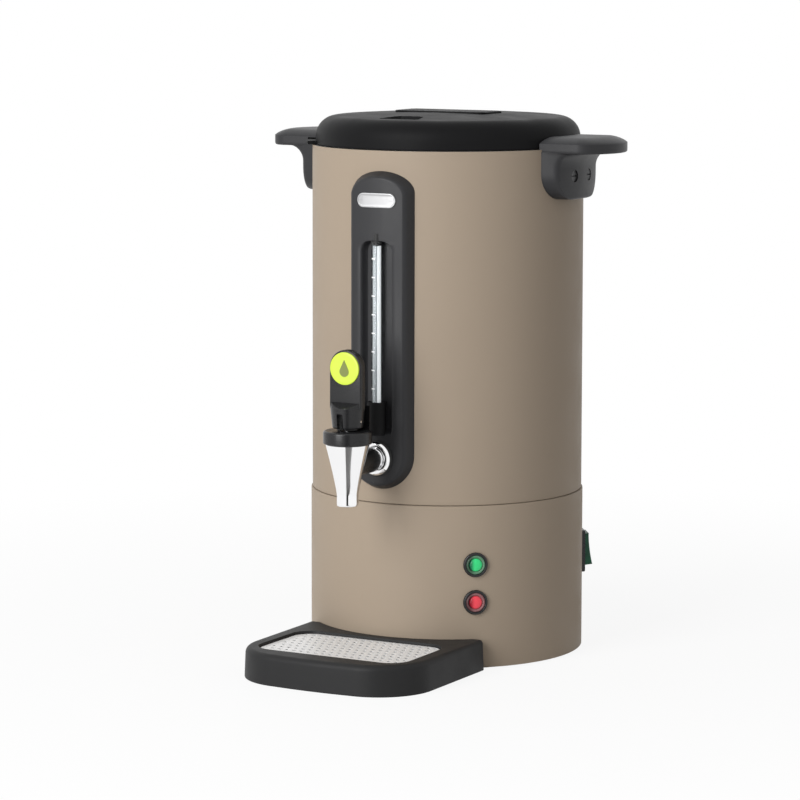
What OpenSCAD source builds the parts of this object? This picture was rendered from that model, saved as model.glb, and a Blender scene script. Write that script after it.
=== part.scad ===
// Electric coffee urn: round casing with a tank and a brewing insert, a lever tap, a sight tube,
// a lid that turns and lifts, a rocker switch, and a drip tray with a lift-out grid.
// Millimetres. The axis of the casing is Z, the table is Z = 0, and the tap faces -Y.

/* [Casing] */
// Outer radius of the upper casing
casing_r = 105; // [100:1:112]
// Sheet thickness of both casings
casing_wall = 1.4; // [1:0.1:1.8]
// How far the base casing stands out from the upper casing
base_step = 1; // [0.6:0.1:2]
// Height of the seam between the base casing and the upper casing
seam_z = 124.5; // [118:0.5:132]
// Height of the upper edge of the casing
casing_h = 390; // [370:1:420]
// Height of the rubber feet under the base's flange
foot_h = 3; // [2.6:0.1:5]
// Radius of each rubber foot
foot_r = 9; // [7:0.5:10]

/* [Tank] */
// Air gap between the upper casing and the tank
tank_gap = 5; // [4.6:0.1:7]
// Sheet thickness of the tank
tank_wall = 1.2; // [0.8:0.1:1.6]
// Height of the tank's underside above the seam
tank_rise = 8; // [6:0.5:11]
// Outer radius of the heating well under the tank
well_r = 20; // [18:0.5:23]
// Depth of the heating well
well_depth = 14; // [12:0.5:18]

/* [Handles] */
// How far each grip reaches out from the casing
grip_reach = 43; // [38:1:52]
// Half width of each grip
grip_half_w = 36; // [33:0.5:42]
// Height of the edge of each grip
grip_edge = 8.5; // [7:0.5:11]
// Height of the domed top above the edge of each grip
grip_dome = 4.7; // [3:0.1:7]
// Half width of the bracket under each grip
bracket_half_w = 36; // [30:0.5:38]
// Thickness of the bracket under each grip
bracket_t = 11; // [8:0.5:13]
// How far the bracket hangs below the grip
bracket_drop = 35.5; // [32:0.5:44]
// Radius of the handle screws
handle_screw_r = 2.4; // [2:0.1:3]

/* [Front panel] */
// Half width of the panel where it meets the casing
panel_half_w = 26.5; // [25:0.5:30]
// Thickness of the panel in front of the casing
panel_t = 8.5; // [8:0.1:12]
// How far the panel's side walls lean in per millimetre of depth
panel_draft = 0.42; // [0.2:0.02:0.5]
// Height of the panel's lower end above the seam
panel_rise = 11.2; // [8:0.2:13]
// Distance from the casing's upper edge down to the panel's upper end
panel_drop = 14; // [11:0.5:20]
// Height of the arch at the panel's upper end
panel_arch = 16; // [12:0.5:22]
// Length of the badge plate
badge_len = 32.6; // [26:0.2:35]
// Height of the badge plate
badge_h = 11; // [8:0.5:13]

/* [Sight tube] */
// Outer radius of the sight tube
tube_r = 4.4; // [3.6:0.1:4.8]
// Wall of the sight tube
tube_wall = 1; // [0.8:0.1:1.2]
// Half width of the recess round the sight tube
trough_half_w = 12.5; // [10:0.5:14]
// Distance from the panel's upper end down to the recess
trough_drop = 52.2; // [46:0.2:60]
// Radius of the round fitting at the tube's foot
fitting_r = 7; // [6.8:0.1:9]
// Height of the fitting's stub above the tap shank's axis
seat_rise = 30; // [28:0.5:34]

/* [Tap] */
// Height of the tap shank's axis above the seam
shank_rise = 35.5; // [32:0.5:40]
// Outer radius of the tap shank
shank_r = 8; // [7:0.2:8.6]
// Distance from the casing to the tap's axis
tap_reach = 51; // [47:0.5:58]
// Radius of the chrome collar round the shank
collar_r = 13; // [11.4:0.2:14.4]
// Outer radius of the spout's outlet
spout_r = 8; // [7.4:0.1:9]
// Outer radius of the spout's cone at its upper edge
cone_r = 16.6; // [16:0.1:18.6]
// Length of the straight outlet below the cone
outlet_len = 9; // [6:0.5:14]
// Radius of the bonnet ring
ring_r = 18.3; // [17.4:0.1:21]
// Height of the bonnet ring
ring_h = 9.7; // [8.5:0.1:12]
// Radius of the tap stem
stem_r = 2.2; // [1.9:0.1:2.4]
// Radius of the lever's hub at its upper edge
hub_r = 12.9; // [12:0.1:14]
// Half width of the lever's paddle
paddle_half_w = 13.3; // [12:0.1:15]
// Thickness of the lever's paddle
paddle_t = 7.4; // [5.5:0.1:8.4]
// Height of the paddle above the hub
paddle_h = 43; // [36:0.5:50]
// Radius of the lime disc on the paddle
disc_r = 12.2; // [9:0.1:13]

/* [Lamps, switch and inlet] */
// Angle from the front to the pilot lamps
lamp_angle = 40; // [36:1:60]
// Height of the upper, green lamp
green_z = 79.8; // [75:0.2:95]
// Height of the lower, red lamp
red_z = 51.1; // [30:0.2:54]
// Radius of the lamp bezels
bezel_r = 9.4; // [8.6:0.1:11]
// Angle from the front to the rocker switch
switch_angle = 125; // [100:1:150]
// Height of the centre of the switch
switch_z = 72; // [50:0.5:90]
// Height of the switch frame
switch_h = 33; // [31:0.5:37]
// Width of the switch frame
switch_w = 26; // [25:0.5:28]
// Turn of the rocker from one side to the other
rocker_turn = 14; // [8:0.5:16]
// Height of the centre of the power inlet
inlet_z = 62; // [50:0.5:80]

/* [Drip tray] */
// Half width of the tray
tray_half_w = 76.5; // [71:0.5:82]
// How far the tray reaches out from the casing
tray_reach = 106.5; // [98:0.5:120]
// Height of the tray
tray_h = 23; // [20:0.5:28]
// Radius of the tray's front corners
tray_corner = 44; // [30:0.5:48]
// Wall of the tray
tray_wall = 2.5; // [2:0.1:4]
// Width of the rim beside the grid
rim_w = 13.5; // [11:0.5:18]
// Distance between neighbouring holes of the grid
hole_pitch = 9; // [8:0.5:12]
// Radius of the holes in the grid
hole_r = 1.5; // [1:0.1:2.2]

/* [Lid] */
// How far the lid's skirt stands in from the casing
lid_inset = 2.6; // [2.4:0.1:4]
// Height of the lid's crown above the tank's rim
lid_h = 25.3; // [22:0.1:32]
// Radius of the lid's rounded shoulder
shoulder_r = 16; // [10:0.5:18]
// Wall of the lid
lid_wall = 2.2; // [1.6:0.1:3]
// Half length of the raised grip on the lid
grip_bar_half = 40; // [34:0.5:44]
// Half width of the raised grip on the lid
grip_bar_w = 17; // [15:0.1:20]
// Turn from the lid's locked place to its free place
lock_turn = 30; // [29:1:36]

/* [Brewing insert] */
// Outer radius of the riser tube
riser_r = 6; // [5:0.1:7]
// Outer radius of the coffee basket
basket_r = 66; // [56:1:76]
// Height of the coffee basket
basket_h = 68; // [50:1:90]

/* [Hidden] */
$fn = 96;

// Clearances: a slide or screw in its hole, a gap between moving pieces, and a running fit
fit = 0.3;
gap = 0.4;
running = 0.08;
// Space left between a curved face and the face it is clamped to
seat = 0.05;
// How far a cutting shape runs past the face that it cuts
over = 1;

// Colours
taupe = [0.62, 0.56, 0.49];
black = [0.13, 0.13, 0.14];
chrome = [0.85, 0.86, 0.88];
steel = [0.74, 0.75, 0.77];
rubber = [0.08, 0.08, 0.08];
brass = [0.78, 0.62, 0.3];
lime = [0.8, 0.95, 0.2];

// Casing, base and tank
casing_in = casing_r - casing_wall;
base_r = casing_r + base_step;
base_in = base_r - casing_wall;
base_flange_in = base_in - 2 * foot_r;
plate_z = foot_h + casing_wall;
plate_t = 1.4;
plate_top = plate_z + plate_t;
foot_ring = base_r - foot_r - 2;
skirt_z = 0.6;
tank_r = casing_in - tank_gap;
tank_in = tank_r - tank_wall;
tank_z = seam_z + tank_rise;
tank_corner = 10;
rim_z = casing_h + tank_wall;
rebate = casing_wall / 2;
rim_r = casing_r - rebate - seat;
well_in = well_r - tank_wall;
element_w = 12;
element_h = well_depth - 2;
rod_r = 2.5;
sensor_ring = tank_r - 20.6;
clamp_r = sensor_ring - 11;
clamp_t = 1.5;
rod_ring = clamp_r - 7;
stat_angle = 60;
cutout_angle = 160;

// Handles: heights of the grip's underside, edge and crown
grip_z = casing_h - 1.5;
grip_edge_z = grip_z + grip_edge;
grip_top_z = grip_edge_z + grip_dome;
bracket_z = grip_z - bracket_drop;
bracket_r = casing_r + bracket_t;
bracket_corner = 20;
bracket_cove = 12;
grip_bow_r = 50;
grip_corner = 14;
handle_screw_y = 12;
handle_screw_z = bracket_z + bracket_drop / 2;
nut_t = 3.4;

// Lid and its two lugs
lid_z = rim_z + 0.6;
lid_r = casing_r - lid_inset;
lid_top = rim_z + lid_h;
lug_t = 2.6;
lug_r = lid_r + 7;
lug_half_turn = 7;
slot_z = rim_z + 0.2;
slot_top = lid_z + lug_t + 0.8;
slot_r = lug_r + 1.5;
liner_z = lid_z + 2.2;
liner_t = 1.2;
grip_bar_t = 0.9;
lid_screw_x = 22;
lid_screw_r = 2;
lid_screw_top = lid_top + grip_bar_t - 0.5;
pocket_y = 71;
pocket_half_w = 16;
pocket_len = 15;
pocket_depth = 5;
dome_rise = 3;

// Tap: heights on its axis, and depths measured from the urn's axis
tap_z = seam_z + shank_rise;
tap_d = casing_r + tap_reach;
shank_bore = 5;
washer_t = 1.8;
outlet_z = tap_z - 30;
cone_z = outlet_z + outlet_len;
ring_z = tap_z + 16.7;
ring_top = ring_z + ring_h;
outlet_bore = spout_r - 2;
seat_z = tap_z - 9;
thread_r = cone_r - 3.6;
thread_z = ring_z - 7;
spring_top = ring_top - 4;
foot_gap = 0.3;
foot_step = 2.1;
hub_z = ring_top + foot_step;
hub_h = 15.2;
hub_top = hub_z + hub_h;
hub_low_r = hub_r - 1.5;
cam_r = 8;
pin_z = hub_z + 5.1;
pin_r = 1.22;
stem_top = pin_z + 4.2;
slot_half = stem_r + fit;
slot_top_z = hub_z + 11.4;
paddle_front = 4;
paddle_back = paddle_t - paddle_front;
shoulder_rise = 3.5;
paddle_top = hub_top + paddle_h;
disc_z = paddle_top - paddle_half_w - 0.4;
disc_t = 1.2;
collar_t = 4;
collar_seat = casing_r + panel_t - 0.5;
tab_half_w = 10.9;
tab_y = hub_r + 0.6;
tab_top = hub_top + 0.3;
boss_r = shank_r + 1.6;
shank_end = tap_d - 12;
boss_end = tap_d - 28;

// Front panel and sight tube
panel_z = seam_z + panel_rise;
panel_top = casing_h - panel_drop;
panel_r = casing_r + panel_t;
panel_skin = 2;
panel_back = casing_r + 0.1;
panel_slope = 5;
trough_r = panel_back + 2.5;
trough_corner = 8;
trough_top = panel_top - trough_drop;
seat_axis_z = tap_z + seat_rise;
fitting_z = seat_axis_z - 12;
fitting_top = seat_axis_z + 12.8;
trough_z = fitting_z - 0.7;
tube_d = trough_r + tube_r + 0.2;
tube_z = seat_axis_z + 1.5;
plug_t = 1;
tube_top = trough_top - plug_t;
plug_depth = 2.2;
plug_boss = 5;
seal_r = tube_r + 1.1;
plug_pin_r = 2.4;
plug_pin_len = 5.5;
stub_r = 5;
stub_bore = 2.5;
badge_z = panel_top - 21.5;
badge_t = 1.2;
panel_screw_z = [tap_z - 20, panel_top - 34];
panel_screw_r = 1.8;
screw_boss_r = 4.5;
screw_hole_end = casing_r + 7;

// Base fittings
lamp_lens_r = bezel_r - 2;
lamp_hole = bezel_r - 1.1;
rocker_half_w = switch_w / 2 - 4.1;
frame_in_w = rocker_half_w + fit;
frame_out_w = switch_w / 2 - 1.5;
frame_out_h = switch_h / 2 - 1.2;
frame_in_h = frame_out_h - 1.2;
frame_t = 2;
rocker_half_h = frame_in_h - 1.7;
rocker_face = 10.8;
pivot_d = base_r - 4;
inlet_angle = 180;
inlet_half_w = 14;
inlet_half_h = 25;
inlet_screw = 20;
shroud_half_w = 8.4;
shroud_half_h = 12.2;
shroud_depth = 16;
inlet_pin_places = [[-4, -7], [-4, 7], [4, 0]];

// Drip tray
tray_front = casing_r + tray_reach;
tray_bow = 1.5;
tray_rear_corner = 3.5;
tray_back = base_r + 0.5;
tray_floor = 2.5;
tray_lean = 0.04;
tray_edge = 4.5;
tray_rear_edge = 1.6;
ledge_t = 1.5;
grid_t = 1.2;
grid_z = tray_h - 3.2;
grid_half_w = tray_half_w - rim_w;
grid_front = tray_front - tray_bow - 19.5;
grid_back = base_r + 8.5;
grid_corner = 16;
ledge_w = 3;
peg_r = 3;
peg_x = 38;
peg_z = 12;
peg_len = 16;

// Brewing insert
riser_wall = 1;
riser_z = tank_z - well_depth + tank_wall + 0.3;
riser_top = rim_z - 11;
basket_lid_t = 1.2;
basket_top = riser_top - 6 - basket_lid_t;
basket_z = basket_top - basket_h;
basket_wall = 1;
pump_r = well_in - 1.2;
pump_h = 12;

// Placing helpers

// A ring with its axis on Z
module ring(r_out, r_in, z0, z1) {
    translate([0, 0, z0]) difference() {
        cylinder(r = r_out, h = z1 - z0);
        translate([0, 0, -over]) cylinder(r = r_in, h = z1 - z0 + 2 * over);
    }
}

// Children face out of the casing at an angle from the front: their X runs round the casing,
// their Y runs up from height z, and their Z is the distance from the urn's axis
module facing(angle, z) {
    rotate([0, 0, angle]) translate([0, 0, z]) rotate([90, 0, 0]) children();
}

// A rod along the facing direction between two distances from the axis
module rod(r, d0, d1) {
    translate([0, 0, d0]) cylinder(r = r, h = d1 - d0);
}

// A block centred on the facing direction between two distances from the axis
module block(half_w, half_h, d0, d1) {
    translate([-half_w, -half_h, d0]) cube([2 * half_w, 2 * half_h, d1 - d0]);
}

// Children without what lies inside a radius, so that they hug the casing
module outside(r) {
    difference() {
        children();
        translate([0, 0, -over]) cylinder(r = r, h = 2 * casing_h);
    }
}

// A six-sided nut along the facing direction
module nut(r, hole, d0, d1) {
    difference() {
        translate([0, 0, d0]) cylinder(r = r, h = d1 - d0, $fn = 6);
        rod(hole, d0 - over, d1 + over);
    }
}

// A plate with rounded corners, standing up from height z0
module round_plate(x0, x1, y0, y1, r, z0, z1) {
    translate([0, 0, z0]) linear_extrude(z1 - z0) {
        for (x = [x0 + r, x1 - r], y = [y0 + r, y1 - r]) translate([x, y]) circle(r);
        translate([x0 + r, y0]) square([x1 - x0 - 2 * r, y1 - y0]);
        translate([x0, y0 + r]) square([x1 - x0, y1 - y0 - 2 * r]);
    }
}

// Casing and base

// A tube whose upper edge has a rebate on the inside for the tank's rim
module outer_casing() {
    color(taupe) difference() {
        union() {
            ring(casing_r, casing_in, seam_z, casing_h);
            ring(casing_r, casing_r - rebate, casing_h, rim_z);
        }
        facing(0, tap_z) rod(shank_r + fit, casing_in - 5, casing_r + 5);
        facing(0, seat_axis_z) rod(stub_r + fit, casing_in - 5, casing_r + 5);
        for (z = panel_screw_z) facing(0, z) rod(panel_screw_r + fit, casing_in - 5, casing_r + 5);
        for (side = [90, -90], y = [-1, 1]) facing(side, handle_screw_z)
            translate([y * handle_screw_y, 0, 0]) rod(handle_screw_r + fit, casing_in - 5, casing_r + 5);
    }
}

// The base casing has an inner flange that the feet hold to, under it a skirt that ends just above
// the table, and at the seam it steps in to a collar that the upper casing stands on and fits over
module base_casing() {
    edge = 0.8;
    collar_h = 5;
    collar_out = casing_in - 0.2;
    color(taupe) difference() {
        rotate_extrude() polygon([
            [base_flange_in, foot_h], [base_in, foot_h], [base_in, skirt_z], [base_r - 0.5, skirt_z],
            [base_r, skirt_z + 0.5],
            [base_r, seam_z - edge], [base_r - edge, seam_z], [collar_out, seam_z],
            [collar_out, seam_z + collar_h], [collar_out - casing_wall, seam_z + collar_h],
            [collar_out - casing_wall, seam_z - casing_wall], [base_in, seam_z - casing_wall],
            [base_in, foot_h + casing_wall], [base_flange_in, foot_h + casing_wall]]);
        for (z = [green_z, red_z]) facing(lamp_angle, z) rod(lamp_hole + 0.1, base_in - 9, base_r + 9);
        facing(switch_angle, switch_z) block(frame_out_w + fit, frame_out_h + fit, base_in - 9, base_r + 9);
        facing(inlet_angle, inlet_z) {
            block(shroud_half_w + 1.9, shroud_half_h + 1.9, base_in - 9, base_r + 9);
            for (s = [-1, 1]) translate([0, s * inlet_screw, 0]) rod(1.8, base_in - 9, base_r + 9);
        }
        for (x = [-1, 1]) translate([x * peg_x, 0, peg_z]) rotate([90, 0, 0]) rod(peg_r + fit, base_in / 2, base_r + 9);
        for (a = [0:90:270]) rotate([0, 0, a]) {
            rotate([0, 0, 45]) translate([foot_ring, 0, 0]) cylinder(r = 2.9, h = plate_top);
            translate([foot_ring, 0, 0]) cylinder(r = 2.1, h = plate_top);
        }
    }
}

module bottom_plate() {
    slot_len = 26;
    color(steel) difference() {
        translate([0, 0, plate_z]) cylinder(r = base_in - fit, h = plate_t);
        for (a = [30:120:270]) rotate([0, 0, a]) translate([rod_ring, 0, 0]) cylinder(r = rod_r + fit, h = 2 * plate_top);
        for (a = [0:90:270]) rotate([0, 0, a]) {
            rotate([0, 0, 45]) translate([foot_ring, 0, 0]) cylinder(r = 2.9, h = 2 * plate_top);
            translate([foot_ring, 0, 0]) cylinder(r = 2.1, h = 2 * plate_top);
        }
        for (y = [-12:6:12]) translate([-slot_len / 2, y - 1, 0]) cube([slot_len, 2, 2 * plate_top]);
    }
}

module rubber_feet() {
    color(rubber) for (a = [45:90:315]) rotate([0, 0, a]) translate([foot_ring, 0, 0]) {
        cylinder(r = foot_r, h = foot_h);
        cylinder(r = 2.9, h = plate_top);
        translate([0, 0, plate_top]) cylinder(r = 4.5, h = 1.5);
    }
}

module base_screws() {
    head_t = 1.7;
    color(steel) for (a = [0:90:270]) rotate([0, 0, a]) translate([foot_ring, 0, 0]) {
        translate([0, 0, foot_h - head_t]) cylinder(r = 3.6, h = head_t);
        translate([0, 0, foot_h - head_t]) cylinder(r = 1.9, h = plate_top + 3.6 - foot_h + head_t);
        translate([0, 0, plate_top]) nut(3.6, 1.9, 0, 2.6);
    }
}

// Tank and heating

// The tank is drawn in one piece, and its rim turns out into a rebate in the casing's edge
module tank() {
    corner = [for (i = [0:8]) [tank_r - tank_corner + tank_corner * sin(i * 90 / 8),
        tank_z + tank_corner - tank_corner * cos(i * 90 / 8)]];
    inner_corner = tank_corner - tank_wall;
    corner_in = [for (i = [8:-1:0]) [tank_r - tank_corner + inner_corner * sin(i * 90 / 8),
        tank_z + tank_corner - inner_corner * cos(i * 90 / 8)]];
    color(steel) difference() {
        rotate_extrude() polygon(concat([[well_in, tank_z]], corner,
            [[tank_r, casing_h], [rim_r, casing_h], [rim_r, rim_z], [tank_in, rim_z]],
            corner_in, [[well_in, tank_z + tank_wall]]));
        facing(0, tap_z) rod(shank_r + fit, tank_in - 5, tank_r + 5);
        facing(0, seat_axis_z) rod(stub_r + fit, tank_in - 5, tank_r + 5);
    }
}

module heating_well() {
    flange = 5;
    color(steel) {
        ring(well_r + flange, well_in, tank_z - tank_wall, tank_z);
        ring(well_r, well_in, tank_z - well_depth, tank_z - tank_wall);
        translate([0, 0, tank_z - well_depth]) cylinder(r = well_r, h = tank_wall);
    }
}

// A cast ring round the well, with two pins for its wires
module heating_element() {
    pin_len = 9;
    color(steel) {
        ring(well_r + element_w, well_r + 0.1, tank_z - element_h, tank_z - tank_wall - 0.1);
        for (a = [75, 105]) rotate([0, 0, a]) translate([well_r + element_w / 2, 0, tank_z - element_h - pin_len])
            cylinder(r = 1.6, h = pin_len);
    }
}

module keep_warm_element() {
    color([0.55, 0.4, 0.25]) ring(well_r + element_w + 18, well_r + element_w + 5, tank_z - 3, tank_z);
}

// Presses the heating element up against the tank
module clamp_plate() {
    z = tank_z - element_h - clamp_t;
    color(steel) difference() {
        ring(clamp_r, well_r + 1, z, z + clamp_t);
        for (a = [30:120:270]) rotate([0, 0, a]) translate([rod_ring, 0, z - over])
            cylinder(r = rod_r + fit, h = clamp_t + 2 * over);
        for (a = [75, 105]) rotate([0, 0, a]) translate([well_r + element_w / 2, 0, z - over])
            cylinder(r = 3, h = clamp_t + 2 * over);
    }
}

// Studs on the tank's underside run down through the clamp plate and the bottom plate
module tie_rods() {
    low = foot_h - 1.4;
    nut_h = 2.6;
    color(steel) for (a = [30:120:270]) rotate([0, 0, a]) translate([rod_ring, 0, 0]) {
        translate([0, 0, low]) cylinder(r = rod_r, h = tank_z - low);
        nut(4.6, rod_r, plate_z - nut_h, plate_z);
        nut(4.6, rod_r, plate_top, plate_top + nut_h);
        translate([0, 0, tank_z - element_h - clamp_t]) nut(4.6, rod_r, -nut_h, 0);
    }
}

// A round switch pressed against the tank's underside, with two flat terminals
module disc_switch(angle, r, h) {
    tab_h = 8;
    rotate([0, 0, angle]) translate([sensor_ring, 0, tank_z - h]) {
        cylinder(r = r, h = h);
        for (s = [-1, 1]) translate([s * 4 - 0.4, -3, -tab_h]) cube([0.8, 6, tab_h]);
    }
}

module thermostat() {
    color([0.85, 0.83, 0.78]) disc_switch(stat_angle, 8, 9);
}

module thermal_cutout() {
    color([0.3, 0.3, 0.32]) disc_switch(cutout_angle, 7, 7);
}

module terminal_block() {
    size = [40, 16, 14];
    color([0.88, 0.86, 0.8]) translate([0, 46, plate_top]) difference() {
        translate([-size[0] / 2, -size[1] / 2, 0]) cube(size);
        for (x = [-14, -5, 5, 14]) translate([x, 0, size[2] - 5]) cylinder(r = 2.4, h = 6);
    }
}

// A wire as straight lengths with a ball at each bend
module wire(points) {
    wire_r = 1.1;
    bend_r = 1.25;
    last = len(points) - 1;
    for (i = [0:last - 1]) {
        a = points[i];
        v = points[i + 1] - a;
        flat = norm([v[0], v[1]]);
        translate(a) rotate([0, atan2(flat, v[2]), atan2(v[1], v[0])]) cylinder(r = wire_r, h = norm(v), $fn = 10);
        if (i > 0) translate(a) sphere(r = bend_r, $fn = 10);
    }
}

// Each wire starts in the terminal block and ends against a terminal
module wiring() {
    block_z = plate_top + 9;
    pin_ring = well_r + element_w / 2;
    pin_low = tank_z - element_h - 9;
    low = plate_top + 22;
    mid = low + 14;
    stat_low = tank_z - 9 - 8;
    stat = [(sensor_ring + 4) * cos(stat_angle), (sensor_ring + 4) * sin(stat_angle), stat_low];
    stat_in = [(sensor_ring - 4) * cos(stat_angle), (sensor_ring - 4) * sin(stat_angle), stat_low];
    color([0.75, 0.3, 0.2]) {
        wire([[-5, 46, block_z], [-5, 46, mid], [pin_ring * cos(105), pin_ring * sin(105), mid + 8],
            [pin_ring * cos(105), pin_ring * sin(105), pin_low]]);
        wire([[5, 46, block_z], [5, 46, low], [stat_in[0], stat_in[1], low + 8], stat_in]);
        wire([[14, 46, block_z], [14, 46, low - 4], [stat[0] + 2, stat[1] + 6, low], [stat[0], stat[1], low + 9], stat]);
        wire([[-14, 46, block_z], [-14, 46, mid - 6], [-14, 84, mid - 6],
            [-4, base_r - 24, inlet_z - 7], [-4, base_r - shroud_depth - 3, inlet_z - 7]]);
    }
}

// Handles

// The handle on the right side: a domed ledge on a bracket that hugs the casing.
// The lid's lug enters the slot above the tank's rim from one side.
module right_handle_shape() {
    bow_x = casing_r + grip_reach - grip_bow_r;
    corner_turn = asin((grip_half_w - grip_corner) / (grip_bow_r - grip_corner));
    root_half_w = grip_half_w - 0.5;
    dome = [[0, 0], [1.2, 0.31], [4, 0.63], [9, 0.9], [13, 1]];
    lean = (bracket_t + 6) * 0.3;
    edge_y = bracket_half_w - bracket_corner;
    depth = bracket_t + bracket_cove + 6;
    head_r = handle_screw_r + 2.2;
    difference() {
        union() {
            hull() {
                for (i = [-2:2]) translate([bow_x, 0, 0]) rotate([0, 0, i * corner_turn / 2])
                    translate([grip_bow_r - grip_corner, 0, 0]) {
                        translate([0, 0, grip_z]) cylinder(r = grip_corner - 1, h = 1, $fn = 48);
                        translate([0, 0, grip_z + 1]) cylinder(r = grip_corner, h = grip_edge - 1, $fn = 48);
                        for (one = dome) translate([0, 0, grip_z]) cylinder(r = grip_corner - one[0],
                            h = grip_edge + grip_dome * one[1], $fn = 48);
                    }
                for (one = dome) translate([casing_r - 8, one[0] - root_half_w, grip_z])
                    cube([4, 2 * (root_half_w - one[0]), grip_edge + grip_dome * one[1]]);
            }
            intersection() {
                rotate_extrude() polygon(concat([[casing_r - over, grip_z + over], [casing_r - over, bracket_z - over],
                    [bracket_r, bracket_z - over]],
                    [for (i = [0:6]) [bracket_r + bracket_cove * (1 - cos(i * 15)),
                        grip_z - bracket_cove * (1 - sin(i * 15))]],
                    [[bracket_r + bracket_cove, grip_z + over]]));
                hull() for (y = [-1, 1], z = [bracket_z + bracket_corner, grip_z])
                    translate([casing_r - 6, y * edge_y, z]) rotate([0, 90, 0])
                        cylinder(r1 = bracket_corner, r2 = bracket_corner - lean, h = depth, $fn = 48);
            }
        }
        translate([0, 0, bracket_z - 30]) cylinder(r = casing_r + seat, h = slot_z - bracket_z + 30);
        translate([0, 0, bracket_z - 30]) cylinder(r = lid_r + 0.8, h = 200);
        intersection() {
            ring(slot_r, lid_r - over, slot_z, slot_top);
            translate([0, -lug_r * sin(lug_half_turn) - 2, slot_z - over]) cube([200, 200, 20]);
        }
        for (y = [-handle_screw_y, handle_screw_y]) translate([0, y, handle_screw_z]) rotate([0, 90, 0]) {
            rod(handle_screw_r + fit, casing_r - 9, bracket_r + 9);
            rod(head_r + fit, bracket_r - 4, bracket_r + 9);
        }
    }
}

module right_handle() {
    color(black) right_handle_shape();
}

module left_handle() {
    color(black) rotate([0, 0, 180]) right_handle_shape();
}

module handle_screws() {
    head_r = handle_screw_r + 2.2;
    inner = sqrt(pow(casing_in, 2) - pow(handle_screw_y + 4.5, 2)) - nut_t;
    color(black) for (side = [0, 180], y = [-1, 1]) rotate([0, 0, side])
        translate([0, y * handle_screw_y, handle_screw_z]) rotate([0, 90, 0]) difference() {
            union() {
                rod(head_r, bracket_r - 4, bracket_r - 1.6);
                rod(handle_screw_r, inner, bracket_r - 4);
            }
            translate([-0.5, -head_r, bracket_r - 2.6]) cube([1, 2 * head_r, 2]);
        }
}

module handle_nuts() {
    outer = sqrt(pow(casing_in, 2) - pow(handle_screw_y + 4.5, 2)) - 0.1;
    color(steel) for (side = [0, 180], y = [-1, 1]) rotate([0, 0, side])
        translate([0, y * handle_screw_y, handle_screw_z]) rotate([0, 90, 0])
            nut(4.5, handle_screw_r, outer - nut_t + 0.3, outer);
}

// Front panel

// The panel's outline between two depths: a full round at the lower end, a low arch at the top
module panel_wedge(inset, back, front) {
    lean = (front - back) * panel_draft;
    foot = panel_half_w + (casing_r - back) * panel_draft - inset;
    arch = panel_arch / panel_half_w;
    arch_z = panel_top - panel_arch - inset * (1 - arch);
    rise = panel_slope * (casing_r - back) / (front - back);
    hull() {
        translate([0, 0, panel_z + panel_half_w]) rotate([90, 0, 0])
            translate([0, 0, back]) cylinder(r1 = foot, r2 = foot - lean, h = front - back, $fn = 64);
        translate([0, 0, arch_z]) rotate([90, 0, 0]) {
            translate([0, rise, back]) scale([1, arch, 1]) cylinder(r = foot, h = 0.5, $fn = 64);
            translate([0, rise - panel_slope, front - 0.5]) scale([1, arch, 1]) cylinder(r = foot - lean, h = 0.5, $fn = 64);
        }
    }
}

// The recess round the sight tube, with two rounded corners at its upper end
module trough_prism(half_w, z0, z1, d0, d1) {
    corner = trough_corner + half_w - trough_half_w;
    facing(0, 0) {
        translate([-half_w, z0, d0]) cube([2 * half_w, z1 - corner - z0, d1 - d0]);
        translate([corner - half_w, z1 - corner - over, d0]) cube([2 * (half_w - corner), corner + over, d1 - d0]);
        for (s = [-1, 1]) translate([s * (half_w - corner), z1 - corner, 0]) rod(corner, d0, d1);
    }
}

module front_panel() {
    back = casing_r - 8;
    front = panel_r + 2;
    color(black) difference() {
        intersection() {
            ring(panel_r, panel_back, panel_z - over, panel_top + over);
            panel_wedge(0, back, front);
        }
        difference() {
            intersection() {
                ring(panel_r - panel_skin, panel_back - over, panel_z, panel_top);
                panel_wedge(panel_skin, back, front);
            }
            trough_prism(trough_half_w + panel_skin, trough_z - panel_skin, trough_top + 2 * panel_skin,
                back, front);
            facing(0, trough_top) block(plug_boss, 2 * plug_boss, back, front);
            facing(0, tap_z) rod(collar_r + 1.5, back, front);
            for (z = panel_screw_z) facing(0, z) rod(screw_boss_r, back, front);
            facing(0, badge_z) block(badge_len / 2 - 4, 2.5, back, front);
        }
        intersection() {
            ring(panel_r + 9, trough_r, trough_z - over, trough_top + over);
            trough_prism(trough_half_w, trough_z, trough_top, back, panel_r + 5);
        }
        facing(0, tap_z) {
            rod(shank_r + fit, back, front);
            rod(collar_r + fit, collar_seat, front);
        }
        facing(0, seat_axis_z) rod(stub_r + fit, back, front);
        translate([0, -tube_d, 0]) {
            translate([0, 0, trough_top - over]) cylinder(r = plug_pin_r + 0.1, h = plug_pin_len + 2);
            translate([0, 0, trough_z + over]) cylinder(r = seal_r + fit, h = fitting_top - trough_z);
        }
        for (z = panel_screw_z) facing(0, z) rod(panel_screw_r, back, screw_hole_end);
    }
}

// Two screws from inside the casing hold the panel
module panel_screws() {
    head_t = 2;
    color(steel) for (z = panel_screw_z) facing(0, z) {
        rod(3.4, casing_in - 0.2 - head_t, casing_in - 0.1);
        rod(panel_screw_r, casing_in - 0.2, casing_r + 6.5);
    }
}

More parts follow.
